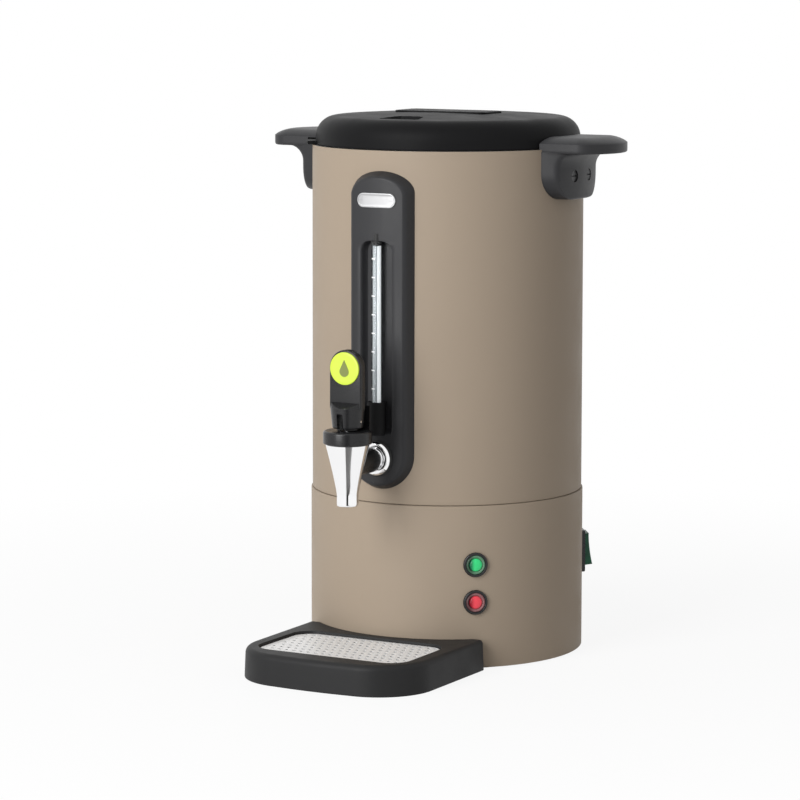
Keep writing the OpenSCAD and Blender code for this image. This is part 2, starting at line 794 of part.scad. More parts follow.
// A bare plate with round ends that follows the panel's curve
module badge_plate() {
    end_r = badge_h / 2;
    color([0.83, 0.83, 0.85]) intersection() {
        ring(panel_r + badge_t, panel_r + seat, badge_z - badge_h, badge_z + badge_h);
        facing(0, badge_z) {
            block(badge_len / 2 - end_r, end_r, casing_r, panel_r + 9);
            for (s = [-1, 1]) translate([s * (badge_len / 2 - end_r), 0, 0]) rod(end_r, casing_r, panel_r + 9);
        }
    }
}

// Sight tube

module sight_tube() {
    color([0.8, 0.88, 0.9, 0.45]) translate([0, -tube_d, 0]) ring(tube_r, tube_r - tube_wall, tube_z, tube_top);
}

// Closes the upper end of the tube and plugs into the panel above it
module sight_tube_plug() {
    color(rubber) translate([0, -tube_d, 0]) {
        translate([0, 0, tube_top - plug_depth]) cylinder(r = tube_r - tube_wall, h = plug_depth);
        translate([0, 0, tube_top]) cylinder(r = tube_r, h = plug_t);
        translate([0, 0, trough_top]) cylinder(r = plug_pin_r, h = plug_pin_len);
    }
}

module sight_tube_seal() {
    color(rubber) translate([0, -tube_d, 0])
        ring(seal_r, tube_r, tube_z, fitting_top - 0.8);
}

// A round column that carries the foot of the tube; its stub reaches through the casing into the tank
module sight_seat_block() {
    color(black) difference() {
        union() {
            outside(trough_r + 0.1) translate([0, -tube_d, fitting_z]) cylinder(r = fitting_r, h = fitting_top - fitting_z);
            facing(0, seat_axis_z) rod(stub_r, tank_in - 9, trough_r + 0.6);
        }
        facing(0, seat_axis_z) rod(stub_bore, tank_in - 12, tube_d);
        translate([0, -tube_d, 0]) {
            translate([0, 0, seat_axis_z]) cylinder(r = stub_bore, h = 20);
            translate([0, 0, tube_z]) cylinder(r = seal_r, h = 20);
        }
    }
}

module sight_seat_nut() {
    nut_r = 9;
    outer = sqrt(pow(tank_in, 2) - pow(nut_r, 2)) - seat;
    color(steel) facing(0, seat_axis_z) {
        nut(nut_r, stub_r, outer - 4.5, outer - 1.2);
    }
    color(rubber) facing(0, seat_axis_z) difference() {
        rod(nut_r, outer - 1.2, outer);
        rod(stub_r, outer - 2, outer + over);
    }
}

// Tap shank and what clamps it

module tap_shank() {
    color(chrome) facing(0, tap_z) difference() {
        rod(shank_r, tank_in - 12, shank_end);
        rod(shank_bore, tank_in - 13, shank_end + over);
    }
}

// A domed chrome ring screwed down on the panel
module shank_collar() {
    color(chrome) facing(0, tap_z) translate([0, 0, collar_seat]) rotate_extrude() polygon([
        [shank_r, 0], [collar_r, 0], [collar_r, collar_t * 0.4], [collar_r - 0.5, collar_t * 0.7],
        [collar_r - 1.8, collar_t], [shank_r + 1, collar_t], [shank_r, collar_t - 1]]);
}

module shank_spacer() {
    color([0.8, 0.8, 0.78]) intersection() {
        ring(casing_in, tank_r, tap_z - 30, tap_z + 30);
        facing(0, tap_z) difference() {
            rod(shank_r + 4, tank_in - 5, casing_r);
            rod(shank_r + 0.1, tank_in - 6, casing_r + over);
        }
    }
}

module shank_washer() {
    outer_r = shank_r + 4.5;
    face = sqrt(pow(tank_in, 2) - pow(outer_r, 2)) - seat;
    color(rubber) facing(0, tap_z) difference() {
        rod(outer_r, face - washer_t, face);
        rod(shank_r, face - 3, face + over);
    }
}

module shank_nut() {
    outer_r = shank_r + 4.5;
    face = sqrt(pow(tank_in, 2) - pow(outer_r, 2)) - seat - washer_t;
    color(brass) facing(0, tap_z) nut(outer_r + 1, shank_r, face - 6, face);
}

// Tap

// The chrome body: a cone with a straight outlet, and a boss that screws onto the shank
module tap_body() {
    wall = 2.4;
    cone_h = ring_z - cone_z;
    seat_r = spout_r + (cone_r - spout_r) * (seat_z - cone_z) / cone_h - wall;
    low_thread = spout_r + (cone_r - spout_r) * (thread_z - 2 - cone_z) / cone_h - wall;
    color(chrome) difference() {
        union() {
            translate([0, -tap_d, 0]) rotate_extrude() polygon([
                [0, outlet_z], [spout_r, outlet_z], [spout_r, cone_z], [cone_r, ring_z], [0, ring_z]]);
            facing(0, tap_z) rod(boss_r, boss_end, tap_d);
        }
        translate([0, -tap_d, 0]) {
            translate([0, 0, outlet_z - over]) cylinder(r = outlet_bore, h = seat_z - outlet_z + 2 * over);
            rotate_extrude() polygon([[0, seat_z], [seat_r, seat_z], [min(low_thread, thread_r), thread_z - 2],
                [thread_r, thread_z], [thread_r, ring_z + over], [0, ring_z + over]]);
        }
        facing(0, tap_z) {
            rod(shank_r, boss_end - over, shank_end + 0.1);
            rod(shank_bore, boss_end, tap_d);
        }
    }
}

// The black ring that closes the body, guides the stem and holds the spring's upper end.
// A tab stands on its edge behind the lever
module tap_bonnet() {
    bevel = 1.4;
    skirt_in = thread_r - 3.2;
    color(black) translate([0, -tap_d, 0]) {
        rotate_extrude() polygon([
            [stem_r + running, spring_top], [skirt_in, spring_top], [skirt_in, thread_z - gap],
            [thread_r - seat, thread_z + 0.1], [thread_r - seat, ring_z], [ring_r - 0.5, ring_z],
            [ring_r, ring_z + 1], [ring_r, ring_top - bevel], [ring_r - bevel * 0.3, ring_top - bevel * 0.3],
            [ring_r - bevel, ring_top], [stem_r + running, ring_top]]);
        intersection() {
            translate([-tab_half_w, tab_y, ring_top - 2]) cube([2 * tab_half_w, ring_r, tab_top - ring_top + 2]);
            translate([0, 0, ring_z]) cylinder(r = ring_r - bevel * 0.3, h = tab_top - ring_z + over);
        }
    }
}

module tap_stem() {
    color(steel) translate([0, -tap_d, 0]) difference() {
        union() {
            translate([0, 0, seat_z + 2]) cylinder(r = stem_r, h = stem_top - seat_z - 2);
            translate([0, 0, seat_z + 5.2]) cylinder(r = 5, h = 1.6);
        }
        translate([-9, 0, pin_z]) rotate([0, 90, 0]) cylinder(r = pin_r + running, h = 18);
    }
}

module seat_cup() {
    cup_r = min(7.6, spout_r + 0.2);
    color([0.75, 0.75, 0.72]) translate([0, -tap_d, 0]) difference() {
        union() {
            translate([0, 0, seat_z + seat]) cylinder(r1 = cup_r, r2 = cup_r - 1.5, h = 5.15);
            translate([0, 0, seat_z - 2]) cylinder(r1 = outlet_bore - 2, r2 = outlet_bore - 0.8, h = 2.05);
        }
        translate([0, 0, seat_z + 2]) cylinder(r = stem_r, h = 9);
    }
}

// Points of a ring round a coil's path
function coil_ring(turn, z, r, wire_r, sides) =
    [for (k = [0:sides - 1]) [(r + wire_r * cos(k * 360 / sides)) * cos(turn),
        (r + wire_r * cos(k * 360 / sides)) * sin(turn), z + wire_r * sin(k * 360 / sides)]];

// One unbroken coil between two heights, its ends flat coils that close up on the last turn
module coil(r, wire_r, z0, z1, turns) {
    sides = 6;
    steps = 12 * turns;
    rings = [for (i = [0:steps]) coil_ring(i * 30, z0 + wire_r + (z1 - z0 - 2 * wire_r) * i / steps, r, wire_r, sides)];
    points = [for (one = rings) each one];
    walls = [for (i = [0:steps - 1], k = [0:sides - 1]) each [
        [i * sides + k, i * sides + (k + 1) % sides, (i + 1) * sides + (k + 1) % sides],
        [i * sides + k, (i + 1) * sides + (k + 1) % sides, (i + 1) * sides + k]]];
    ends = [for (k = [1:sides - 2]) each [[0, k + 1, k],
        [steps * sides, steps * sides + k, steps * sides + k + 1]]];
    polyhedron(points, concat(walls, ends));
}

module tap_spring() {
    color(steel) translate([0, -tap_d, 0]) coil(4.6, 0.6, seat_z + 6.9, spring_top - 0.1, 7);
}

// Lever

module lever_pin() {
    color(steel) translate([-hub_low_r - 1, -tap_d, pin_z]) rotate([0, 90, 0])
        cylinder(r = pin_r, h = 2 * hub_low_r + 2);
}

// A round hub whose foot rests just above the bonnet, and a flat paddle with a round head.
// The slot lets the stem pass when the paddle is pulled forward.
module tap_lever() {
    head_z = paddle_top - paddle_half_w;
    color(black) translate([0, -tap_d, 0]) difference() {
        union() {
            translate([0, 0, ring_top + foot_gap]) cylinder(r = cam_r, h = foot_step);
            translate([0, 0, hub_z]) cylinder(r1 = hub_low_r, r2 = hub_r, h = hub_h);
            intersection() {
                translate([0, 0, hub_top]) cylinder(r = hub_r, h = shoulder_rise + 5.5);
                rotate([90, 0, 90]) translate([0, 0, -hub_r]) linear_extrude(2 * hub_r) polygon([
                    [-hub_r, hub_top], [-paddle_front, hub_top + shoulder_rise],
                    [paddle_back, hub_top + shoulder_rise + 5], [hub_r, hub_top]]);
            }
            translate([-paddle_half_w, -paddle_front, hub_top - 1])
                cube([2 * paddle_half_w, paddle_t, head_z - hub_top + 1]);
            translate([0, paddle_back, head_z]) rotate([90, 0, 0]) cylinder(r = paddle_half_w, h = paddle_t);
        }
        translate([-slot_half, -hub_r - over, hub_z - 9]) cube([2 * slot_half, hub_r + over + 4.6, slot_top_z - hub_z + 9]);
        translate([-hub_r - 9, 0, pin_z]) rotate([0, 90, 0]) cylinder(r = pin_r + 0.02, h = 2 * hub_r + 18);
    }
}

// The lime disc on the paddle, with a plain raised drop
module lever_disc() {
    drop_r = disc_r * 0.34;
    facing(0, disc_z) {
        color(lime) rod(disc_r, tap_d + paddle_front, tap_d + paddle_front + disc_t);
        color(lime) translate([0, 0, tap_d + paddle_front + disc_t]) linear_extrude(0.4) {
            translate([0, -drop_r * 0.6]) circle(drop_r);
            polygon([[-drop_r * 0.87, -drop_r * 0.1], [drop_r * 0.87, -drop_r * 0.1], [0, drop_r * 1.9]]);
        }
    }
}

// Lamps

module lamp_bezels() {
    flange = 2.2;
    color(black) for (z = [green_z, red_z]) difference() {
        union() {
            outside(base_r + seat) facing(lamp_angle, z) {
                rod(bezel_r, base_r - 2, base_r + flange - 0.8);
                translate([0, 0, base_r + flange - 0.8]) cylinder(r1 = bezel_r, r2 = bezel_r - 0.8, h = 0.8);
            }
            facing(lamp_angle, z) rod(lamp_hole, base_r - 14, base_r + 0.5);
        }
        facing(lamp_angle, z) rod(lamp_lens_r + seat, base_r - 15, base_r + 9);
    }
}

module lamp_lens(z) {
    dome = 1.6;
    ball = (pow(lamp_lens_r, 2) + pow(dome, 2)) / (2 * dome);
    facing(lamp_angle, z) {
        rod(lamp_lens_r, base_r - 15, base_r + 1.8);
        translate([0, 0, base_r + 1.8]) intersection() {
            translate([0, 0, dome - ball]) sphere(r = ball);
            cylinder(r = lamp_lens_r, h = dome + over);
        }
    }
}

module green_lamp() {
    color([0.25, 0.85, 0.5]) lamp_lens(green_z);
}

module red_lamp() {
    color([0.9, 0.3, 0.32]) lamp_lens(red_z);
}

module lamp_nuts() {
    nut_r = bezel_r + 2.4;
    outer = sqrt(pow(base_in, 2) - pow(nut_r, 2)) - 0.1;
    color([0.85, 0.85, 0.85]) for (z = [green_z, red_z]) facing(lamp_angle, z) nut(nut_r, lamp_hole, outer - 4, outer);
}

// Rocker switch

module switch_frame() {
    color(black) difference() {
        union() {
            outside(base_r + seat) facing(switch_angle, switch_z)
                block(switch_w / 2, switch_h / 2, base_r - 2, base_r + frame_t);
            facing(switch_angle, switch_z) block(frame_out_w, frame_out_h, base_r - 18, base_r + 0.5);
        }
        facing(switch_angle, switch_z) {
            block(frame_in_w, frame_in_h, base_r - 16, base_r + frame_t + over);
            translate([-frame_out_w + 0.7, 0, pivot_d]) rotate([0, 90, 0])
                cylinder(r = 1.5 + running, h = 2 * frame_out_w - 1.4);
        }
    }
}

// The rocker at rest leans with its upper half pressed in
module switch_rocker() {
    color([0.25, 0.75, 0.42]) facing(switch_angle, switch_z) translate([0, 0, pivot_d])
        rotate([-rocker_turn / 2, 0, 0]) {
            rotate([90, 0, 90]) translate([0, 0, -rocker_half_w]) linear_extrude(2 * rocker_half_w) polygon([
                [-rocker_half_h * 0.5, -6], [rocker_half_h * 0.5, -6], [rocker_half_h, 2], [rocker_half_h, rocker_face],
                [0, rocker_face - 0.6], [-rocker_half_h, rocker_face], [-rocker_half_h, 2]]);
            translate([-rocker_half_w - 1.2, 0, 0]) rotate([0, 90, 0]) cylinder(r = 1.5, h = 2 * rocker_half_w + 2.4);
        }
}

// Power inlet

module power_inlet() {
    color(black) difference() {
        union() {
            outside(base_r + seat) facing(inlet_angle, inlet_z)
                block(inlet_half_w, inlet_half_h, base_r - 2, base_r + 2.5);
            facing(inlet_angle, inlet_z)
                block(shroud_half_w + 1.6, shroud_half_h + 1.6, base_r - shroud_depth - 2, base_r + 0.5);
        }
        facing(inlet_angle, inlet_z) {
            block(shroud_half_w, shroud_half_h, base_r - shroud_depth, base_r + 9);
            for (s = [-1, 1]) translate([0, s * inlet_screw, 0]) rod(1.8, base_r - 3, base_r + 9);
            for (p = inlet_pin_places) translate([p[0], p[1], 0])
                block(1, 2.5, base_r - shroud_depth - 4, base_r - shroud_depth + over);
        }
    }
}

module inlet_pins() {
    color(brass) facing(inlet_angle, inlet_z)
        for (p = inlet_pin_places) translate([p[0], p[1], 0])
            block(1, 2.5, base_r - shroud_depth - 6, base_r - 4);
}

module inlet_screws() {
    inlet_nut_r = 3.4;
    nut_face = sqrt(pow(base_in, 2) - pow(inlet_nut_r, 2)) - seat;
    color(steel) facing(inlet_angle, inlet_z) for (s = [-1, 1]) translate([0, s * inlet_screw, 0]) {
        rod(3.2, base_r + 2.5, base_r + 4.2);
        rod(1.6, base_in - 5, base_r + 2.5);
        nut(inlet_nut_r, 1.6, nut_face - 2.5, nut_face);
    }
}

// Drip tray

// One upright of the tray's outline: a leaning wall with a rounded upper edge
module tray_post(x, y, r, edge) {
    top_r = r - tray_h * tray_lean;
    translate([x, y, 0]) {
        cylinder(r1 = r, r2 = top_r, h = tray_h - edge, $fn = 48);
        for (a = [30:30:90]) cylinder(r = top_r - edge * (1 - cos(a)), h = tray_h - edge * (1 - sin(a)), $fn = 48);
    }
}

// Four corners and a bowed front; the rear corners come close to the base casing
module tray_block() {
    x = tray_half_w - tray_corner;
    front = -tray_front + tray_corner;
    rear_x = tray_half_w - tray_rear_corner;
    rear_y = -sqrt(pow(tray_back + tray_rear_corner, 2) - pow(rear_x, 2));
    hull() {
        for (s = [-1, 0, 1]) tray_post(s * x, front + tray_bow * s * s, tray_corner, tray_edge);
        for (s = [-1, 1]) {
            tray_post(s * x / 2, front + tray_bow / 4, tray_corner, tray_edge);
            tray_post(s * rear_x, rear_y, tray_rear_corner, tray_rear_edge);
        }
    }
}

module drip_tray() {
    color(black) {
        difference() {
            tray_block();
            cylinder(r = tray_back, h = tray_h + over);
            round_plate(-grid_half_w - fit, grid_half_w + fit, -grid_front - fit, -grid_back + fit,
                grid_corner, grid_z, tray_h + over);
            round_plate(-grid_half_w + ledge_w, grid_half_w - ledge_w, -grid_front + ledge_w, -grid_back - ledge_w,
                grid_corner - ledge_w, tray_floor, tray_h);
        }
        for (x = [-peg_x, peg_x]) translate([x, 0, peg_z]) rotate([90, 0, 0])
            rod(peg_r, sqrt(pow(tray_back, 2) - pow(peg_x, 2)) - peg_len / 2, base_r + 6);
    }
}

// A steel plate with rows of holes
module drip_grid() {
    rows = floor((grid_front - grid_back - 2 * ledge_w - 4) / hole_pitch);
    columns = floor((2 * grid_half_w - 2 * ledge_w - 4) / hole_pitch);
    mid_y = (grid_front + grid_back) / 2;
    color(steel) difference() {
        round_plate(-grid_half_w, grid_half_w, -grid_front, -grid_back, grid_corner, grid_z, grid_z + grid_t);
        translate([0, -mid_y, grid_z - over]) linear_extrude(grid_t + 2 * over)
            for (i = [0:columns - 1], k = [0:rows - 1])
                let (x = (i - (columns - 1) / 2) * hole_pitch, y = (k - (rows - 1) / 2) * hole_pitch)
                    if (abs(x) + abs(y) < grid_half_w + (grid_front - grid_back) / 2 - grid_corner - 4)
                        translate([x, y]) circle(hole_r, $fn = 8);
    }
}

// Lid

// Points of the lid's section from the skirt's edge to the axis, at a depth inside its skin
function lid_line(skin, z) =
    let (r = shoulder_r - skin, cx = lid_r - shoulder_r, cz = lid_top - dome_rise - shoulder_r)
    concat([[lid_r - skin, z]],
        [for (i = [0:10]) [cx + r * cos(i * 9), cz + r * sin(i * 9)]],
        [for (i = [1:6]) [cx * (1 - i / 6), lid_top - skin - dome_rise * pow(1 - i / 6, 2)]]);

// A finger pocket in front of the grip, and one behind it
module lid_pockets(grow) {
    for (s = [-1, 1]) translate([0, s * pocket_y, lid_top - dome_rise - pocket_depth])
        round_plate(-pocket_half_w - grow, pocket_half_w + grow, -pocket_len / 2 - grow, pocket_len / 2 + grow,
            4 + grow, -grow, pocket_depth + 6);
}

module lid_shell() {
    outer = lid_line(0, lid_z);
    inner = lid_line(lid_wall, lid_z);
    color(black) {
        difference() {
            union() {
                rotate_extrude() polygon(concat(outer, [for (i = [len(inner) - 1:-1:0]) inner[i]]));
                intersection() {
                    rotate_extrude() polygon(concat(outer, [[0, lid_z]]));
                    lid_pockets(lid_wall);
                }
            }
            lid_pockets(0);
            for (s = [-1, 1]) {
                translate([s * lid_screw_x, 0, lid_top - 20]) cylinder(r = lid_screw_r + 0.2, h = 40);
                translate([0, s * pocket_y, lid_top - 20]) cylinder(r = 2, h = 40);
            }
        }
        for (side = [0, 180]) rotate([0, 0, side + lock_turn]) intersection() {
            ring(lug_r, lid_r - 1, lid_z, lid_z + lug_t);
            linear_extrude(2 * casing_h) polygon([[0, 0], [2 * lug_r * cos(lug_half_turn), -2 * lug_r * sin(lug_half_turn)],
                [2 * lug_r * cos(lug_half_turn), 2 * lug_r * sin(lug_half_turn)]]);
        }
    }
}

// A raised oblong cap that is screwed on from inside the lid
module lid_grip() {
    under = lid_top - 1.2;
    color(black) difference() {
        hull() {
            round_plate(-grip_bar_half, grip_bar_half, -grip_bar_w, grip_bar_w, 6, under, lid_top + grip_bar_t - 1);
            round_plate(-grip_bar_half + 1.2, grip_bar_half - 1.2, -grip_bar_w + 1.2, grip_bar_w - 1.2, 5,
                under, lid_top + grip_bar_t);
        }
        rotate_extrude() polygon(concat(lid_line(0, lid_z), [[0, lid_z]]));
        for (x = [-lid_screw_x, lid_screw_x]) translate([x, 0, under - over])
            cylinder(r = lid_screw_r, h = lid_screw_top + 0.1 - under + over);
    }
}

// The inner plate of the lid
module lid_liner() {
    color(steel) difference() {
        translate([0, 0, liner_z]) cylinder(r = lid_r - lid_wall - 0.2, h = liner_t);
        for (x = [-lid_screw_x, lid_screw_x]) translate([x, 0, liner_z - over]) cylinder(r = lid_screw_r + 0.2, h = 5);
        for (y = [-pocket_y, pocket_y]) translate([0, y, liner_z - over]) cylinder(r = 2, h = 5);
    }
}

module lid_screws() {
    color(steel) for (x = [-lid_screw_x, lid_screw_x]) translate([x, 0, 0]) {
        translate([0, 0, liner_z - 1.8]) cylinder(r = 4, h = 1.8);
        translate([0, 0, liner_z - 0.5]) cylinder(r = lid_screw_r, h = lid_screw_top - liner_z + 0.5);
        ring(4, lid_screw_r, liner_z + liner_t, lid_top - lid_wall - 0.1 - dome_rise * pow((lid_screw_x + 4) / (lid_r - shoulder_r), 2));
    }
}

// The seal that sits on the tank's rim under the lid
module lid_gasket() {
    outer = lid_r - lid_wall - 0.2;
    color(rubber) ring(outer, max(tank_in + gap, outer - 3), rim_z + seat, liner_z - seat);
}

// Brewing insert

// The riser stands in the heating well on its pump disc and carries the basket on a shoulder
module riser_tube() {
    color(steel) {
        ring(riser_r, riser_r - riser_wall, riser_z + pump_h, riser_top);
        ring(riser_r + 3, riser_r - 0.5, basket_z - 2, basket_z - seat);
        translate([0, 0, riser_z]) difference() {
            cylinder(r1 = pump_r, r2 = riser_r, h = pump_h);
            translate([0, 0, -over]) cylinder(r1 = pump_r - 1.2, r2 = riser_r - riser_wall, h = pump_h + over);
            translate([0, 0, pump_h - over]) cylinder(r = riser_r - riser_wall, h = 9);
            for (a = [0:60:300]) rotate([0, 0, a]) translate([pump_r, 0, 0]) rotate([0, 90, 0]) cylinder(r = 2, h = 8, center = true);
        }
    }
}

// Rings of drain holes
module drain_holes(z, h, r_last) {
    for (r = [16:10:r_last], i = [0:round(r / 2.6) - 1])
        rotate([0, 0, i * 360 / round(r / 2.6)]) translate([r, 0, z]) cylinder(r = 1.2, h = h, $fn = 8);
}

module coffee_basket() {
    sleeve = riser_r + fit;
    color(steel) difference() {
        union() {
            ring(basket_r, basket_r - basket_wall, basket_z, basket_top);
            ring(basket_r, sleeve, basket_z, basket_z + basket_wall);
            ring(sleeve + 1, sleeve, basket_z, basket_z + basket_h / 3);
        }
        drain_holes(basket_z - over, basket_wall + 2 * over, basket_r - 8);
    }
}

module basket_lid() {
    sleeve = riser_r + fit;
    color(steel) difference() {
        union() {
            ring(basket_r, sleeve, basket_top + seat, basket_top + basket_lid_t);
            ring(basket_r - basket_wall - fit, basket_r - 2 * basket_wall - fit, basket_top - 5, basket_top + 0.2);
        }
        drain_holes(basket_top - over, basket_lid_t + 2 * over, basket_r - 8);
    }
}

outer_casing();
base_casing();
bottom_plate();
rubber_feet();
base_screws();
tank();
heating_well();
heating_element();
keep_warm_element();
clamp_plate();
tie_rods();
thermostat();
thermal_cutout();
terminal_block();
wiring();
left_handle();
right_handle();
handle_screws();
handle_nuts();
front_panel();
panel_screws();
badge_plate();
sight_tube();
sight_tube_plug();
sight_tube_seal();
sight_seat_block();
sight_seat_nut();
tap_shank();
shank_collar();
shank_spacer();
shank_washer();
shank_nut();
tap_body();
tap_bonnet();
tap_stem();
seat_cup();
tap_spring();
lever_pin();
tap_lever();
lever_disc();
lamp_bezels();
green_lamp();
red_lamp();
lamp_nuts();
switch_frame();
switch_rocker();
power_inlet();
inlet_pins();
inlet_screws();
drip_tray();
drip_grid();
lid_shell();
lid_grip();
lid_liner();
lid_screws();
lid_gasket();
riser_tube();
coffee_basket();
basket_lid();
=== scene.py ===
"""Looks of an electric coffee urn, built round its packed construction. Sizes are millimetres and are
turned to metres when a piece is made. The casing's axis is Z and the tap faces -Y."""

import bmesh
import bpy
import numpy as np
from mathutils import Matrix, Vector


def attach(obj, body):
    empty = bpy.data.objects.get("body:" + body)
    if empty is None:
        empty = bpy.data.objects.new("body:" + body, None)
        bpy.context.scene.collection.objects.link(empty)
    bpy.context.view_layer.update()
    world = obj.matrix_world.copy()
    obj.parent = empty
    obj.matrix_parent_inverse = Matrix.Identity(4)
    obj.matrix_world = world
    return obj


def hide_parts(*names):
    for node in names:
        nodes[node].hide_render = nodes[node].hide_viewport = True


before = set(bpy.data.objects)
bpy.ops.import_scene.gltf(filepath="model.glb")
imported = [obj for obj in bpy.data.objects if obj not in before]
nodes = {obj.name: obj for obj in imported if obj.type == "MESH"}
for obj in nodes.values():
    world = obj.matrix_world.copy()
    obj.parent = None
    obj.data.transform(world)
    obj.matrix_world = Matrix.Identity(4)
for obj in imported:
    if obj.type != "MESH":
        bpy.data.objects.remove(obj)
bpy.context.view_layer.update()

# Bottom plate, feet and their screws. The urn stands on four moulded rubber feet, each a pad with a
# waist that snaps through the base's turned-in edge and the zinc-plated bottom plate.


def skin(grid, closed=False):
    """Four-sided faces between neighbours of grid[section, place]: places run round in a loop, and
    sections join last to first if closed, otherwise the first and last section become end faces."""
    m, n = grid.shape[:2]
    i, k = np.arange(m if closed else m - 1)[:, None], np.arange(n)[None]
    after, up = (k + 1) % n, (i + 1) % m
    faces = np.stack([i * n + k, i * n + after, up * n + after, up * n + k], -1).reshape(-1, 4).tolist()
    if not closed:
        faces += [list(range(n))[::-1], list(range((m - 1) * n, m * n))]
    return grid.reshape(-1, 3), faces


def spun(line, turns=96):
    """A closed line of (radius, height) swept round Z: x = r cos t, y = r sin t, z = height."""
    line = np.asarray(line, float)
    t = np.arange(turns) * 2 * np.pi / turns
    r, z = line[:, :1], line[:, 1:]
    return skin(np.stack([r * np.cos(t), r * np.sin(t), z + 0 * t], -1), closed=True)


def rounded(corners, radii, steps=6):
    """A closed polygon whose corner k is an arc of radius radii[k] that touches both of its sides."""
    corners = np.asarray(corners, float)
    out = []
    for k, r in enumerate(radii):
        p, a, b = corners[k], corners[k - 1], corners[(k + 1) % len(corners)]
        u, v = (a - p) / np.linalg.norm(a - p), (b - p) / np.linalg.norm(b - p)
        half = np.arccos(np.clip(u @ v, -1, 1)) / 2
        if r <= 0 or half > 1.55:
            out.append(p)
            continue
        centre = p + (u + v) / np.linalg.norm(u + v) * r / np.sin(half)
        start, end = p + u * r / np.tan(half) - centre, p + v * r / np.tan(half) - centre
        a0 = np.arctan2(start[1], start[0])
        sweep = (np.arctan2(end[1], end[0]) - a0 + np.pi) % (2 * np.pi) - np.pi
        t = a0 + np.linspace(0, 1, steps + 1) * sweep
        out.extend(centre + r * np.stack([np.cos(t), np.sin(t)], -1))
    return np.array(out)


def moved(part, at=(0, 0, 0), turn=0.0, tilt=0.0):
    """The part tilted about X, then turned about Z (degrees), then shifted."""
    m = np.array(Matrix.Rotation(np.radians(turn), 3, "Z") @ Matrix.Rotation(np.radians(tilt), 3, "X"))
    return part[0] @ m.T + np.array(at, float), part[1]


def facing(part, angle, height):
    """A part drawn with X to the right, Y up and Z outward, set on the casing at an angle from the
    front: its Z becomes the distance from the urn's axis."""
    p = np.stack([part[0][:, 0], -part[0][:, 2], part[0][:, 1] + height], -1)
    return moved((p, part[1]), turn=angle)


def lying(part):
    """The part laid on its side, so its axis points along X: (x, y, z) becomes (z, x, y)."""
    return part[0][:, [2, 0, 1]], part[1]


def drill(r, low, high, turns=32):
    """A plain cylinder on Z that cuts a round hole."""
    return spun([[0, low], [r, low], [r, high], [0, high]], turns)


def mesh_of(name, parts):
    """One mesh of closed parts, in metres, with equal points joined and normals outward."""
    points, faces, n = [], [], 0
    for p, f in parts:
        points.append(p)
        faces += [[v + n for v in one] for one in f]
        n += len(p)
    mesh = bpy.data.meshes.new(name)
    mesh.from_pydata((np.concatenate(points) * 0.001).tolist(), [], faces)
    b = bmesh.new()
    b.from_mesh(mesh)
    bmesh.ops.remove_doubles(b, verts=b.verts, dist=2e-6)
    bmesh.ops.dissolve_degenerate(b, edges=b.edges, dist=1e-6)
    bmesh.ops.recalc_face_normals(b, faces=b.faces)
    b.to_mesh(mesh)
    b.free()
    return mesh


def carved(mesh, cuts):
    """The mesh less each list of cutting parts in turn, worked out once and kept as plain faces."""
    for cut in cuts:
        a = bpy.data.objects.new("carved", mesh)
        b = bpy.data.objects.new("cutter", mesh_of("cutter", cut))
        for o in (a, b):
            bpy.context.scene.collection.objects.link(o)
        modifier = a.modifiers.new("cut", "BOOLEAN")
        modifier.operation, modifier.object, modifier.solver = "DIFFERENCE", b, "EXACT"
        bpy.context.view_layer.update()
        done = bpy.data.meshes.new_from_object(a.evaluated_get(bpy.context.evaluated_depsgraph_get()))
        for o in (a, b):
            bpy.data.objects.remove(o)
        mesh = done
    return mesh


def piece(name, shape, material, body="urn", stands_for=(), sharp=32):
    """Puts a shape (parts or a ready mesh) in the scene, rides it on its body, and lets it stand for
    the construction's nodes. Faces that meet at more than the sharp angle keep a crisp edge."""
    mesh = shape if isinstance(shape, bpy.types.Mesh) else mesh_of(name, shape)
    mesh.name = name
    mesh.materials.clear()
    mesh.materials.append(material)
    mesh.shade_smooth()
    mesh.set_sharp_from_angle(angle=np.radians(sharp))
    o = bpy.data.objects.new(name, mesh)
    bpy.context.scene.collection.objects.link(o)
    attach(o, body)
    if stands_for:
        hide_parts(*stands_for)
    return o


def tools(nt):
    """Short ways to add a node with its settings to a node tree, and to link two sockets."""

    def add(kind, **values):
        node = nt.nodes.new(kind)
        for key, value in values.items():
            if key in node.inputs:
                node.inputs[key].default_value = value
            else:
                setattr(node, key, value)
        return node

    return add, nt.links.new


def tree(name, **sockets):
    """A new material and its shader, whose named sockets get their values, and the tree's tools."""
    m = bpy.data.materials.new(name)
    m.use_nodes = True
    shader = m.node_tree.nodes["Principled BSDF"]
    for key, value in sockets.items():
        shader.inputs[key.replace("_", " ")].default_value = value
    return m, shader, *tools(m.node_tree)


def ramp(add, low=0.0, high=1.0, first=0.0, last=1.0, **more):
    """A node that carries low..high evenly to first..last and stays level beyond them."""
    ends = {"From Min": low, "From Max": high, "To Min": first, "To Max": last}
    return add("ShaderNodeMapRange", **ends, **more)


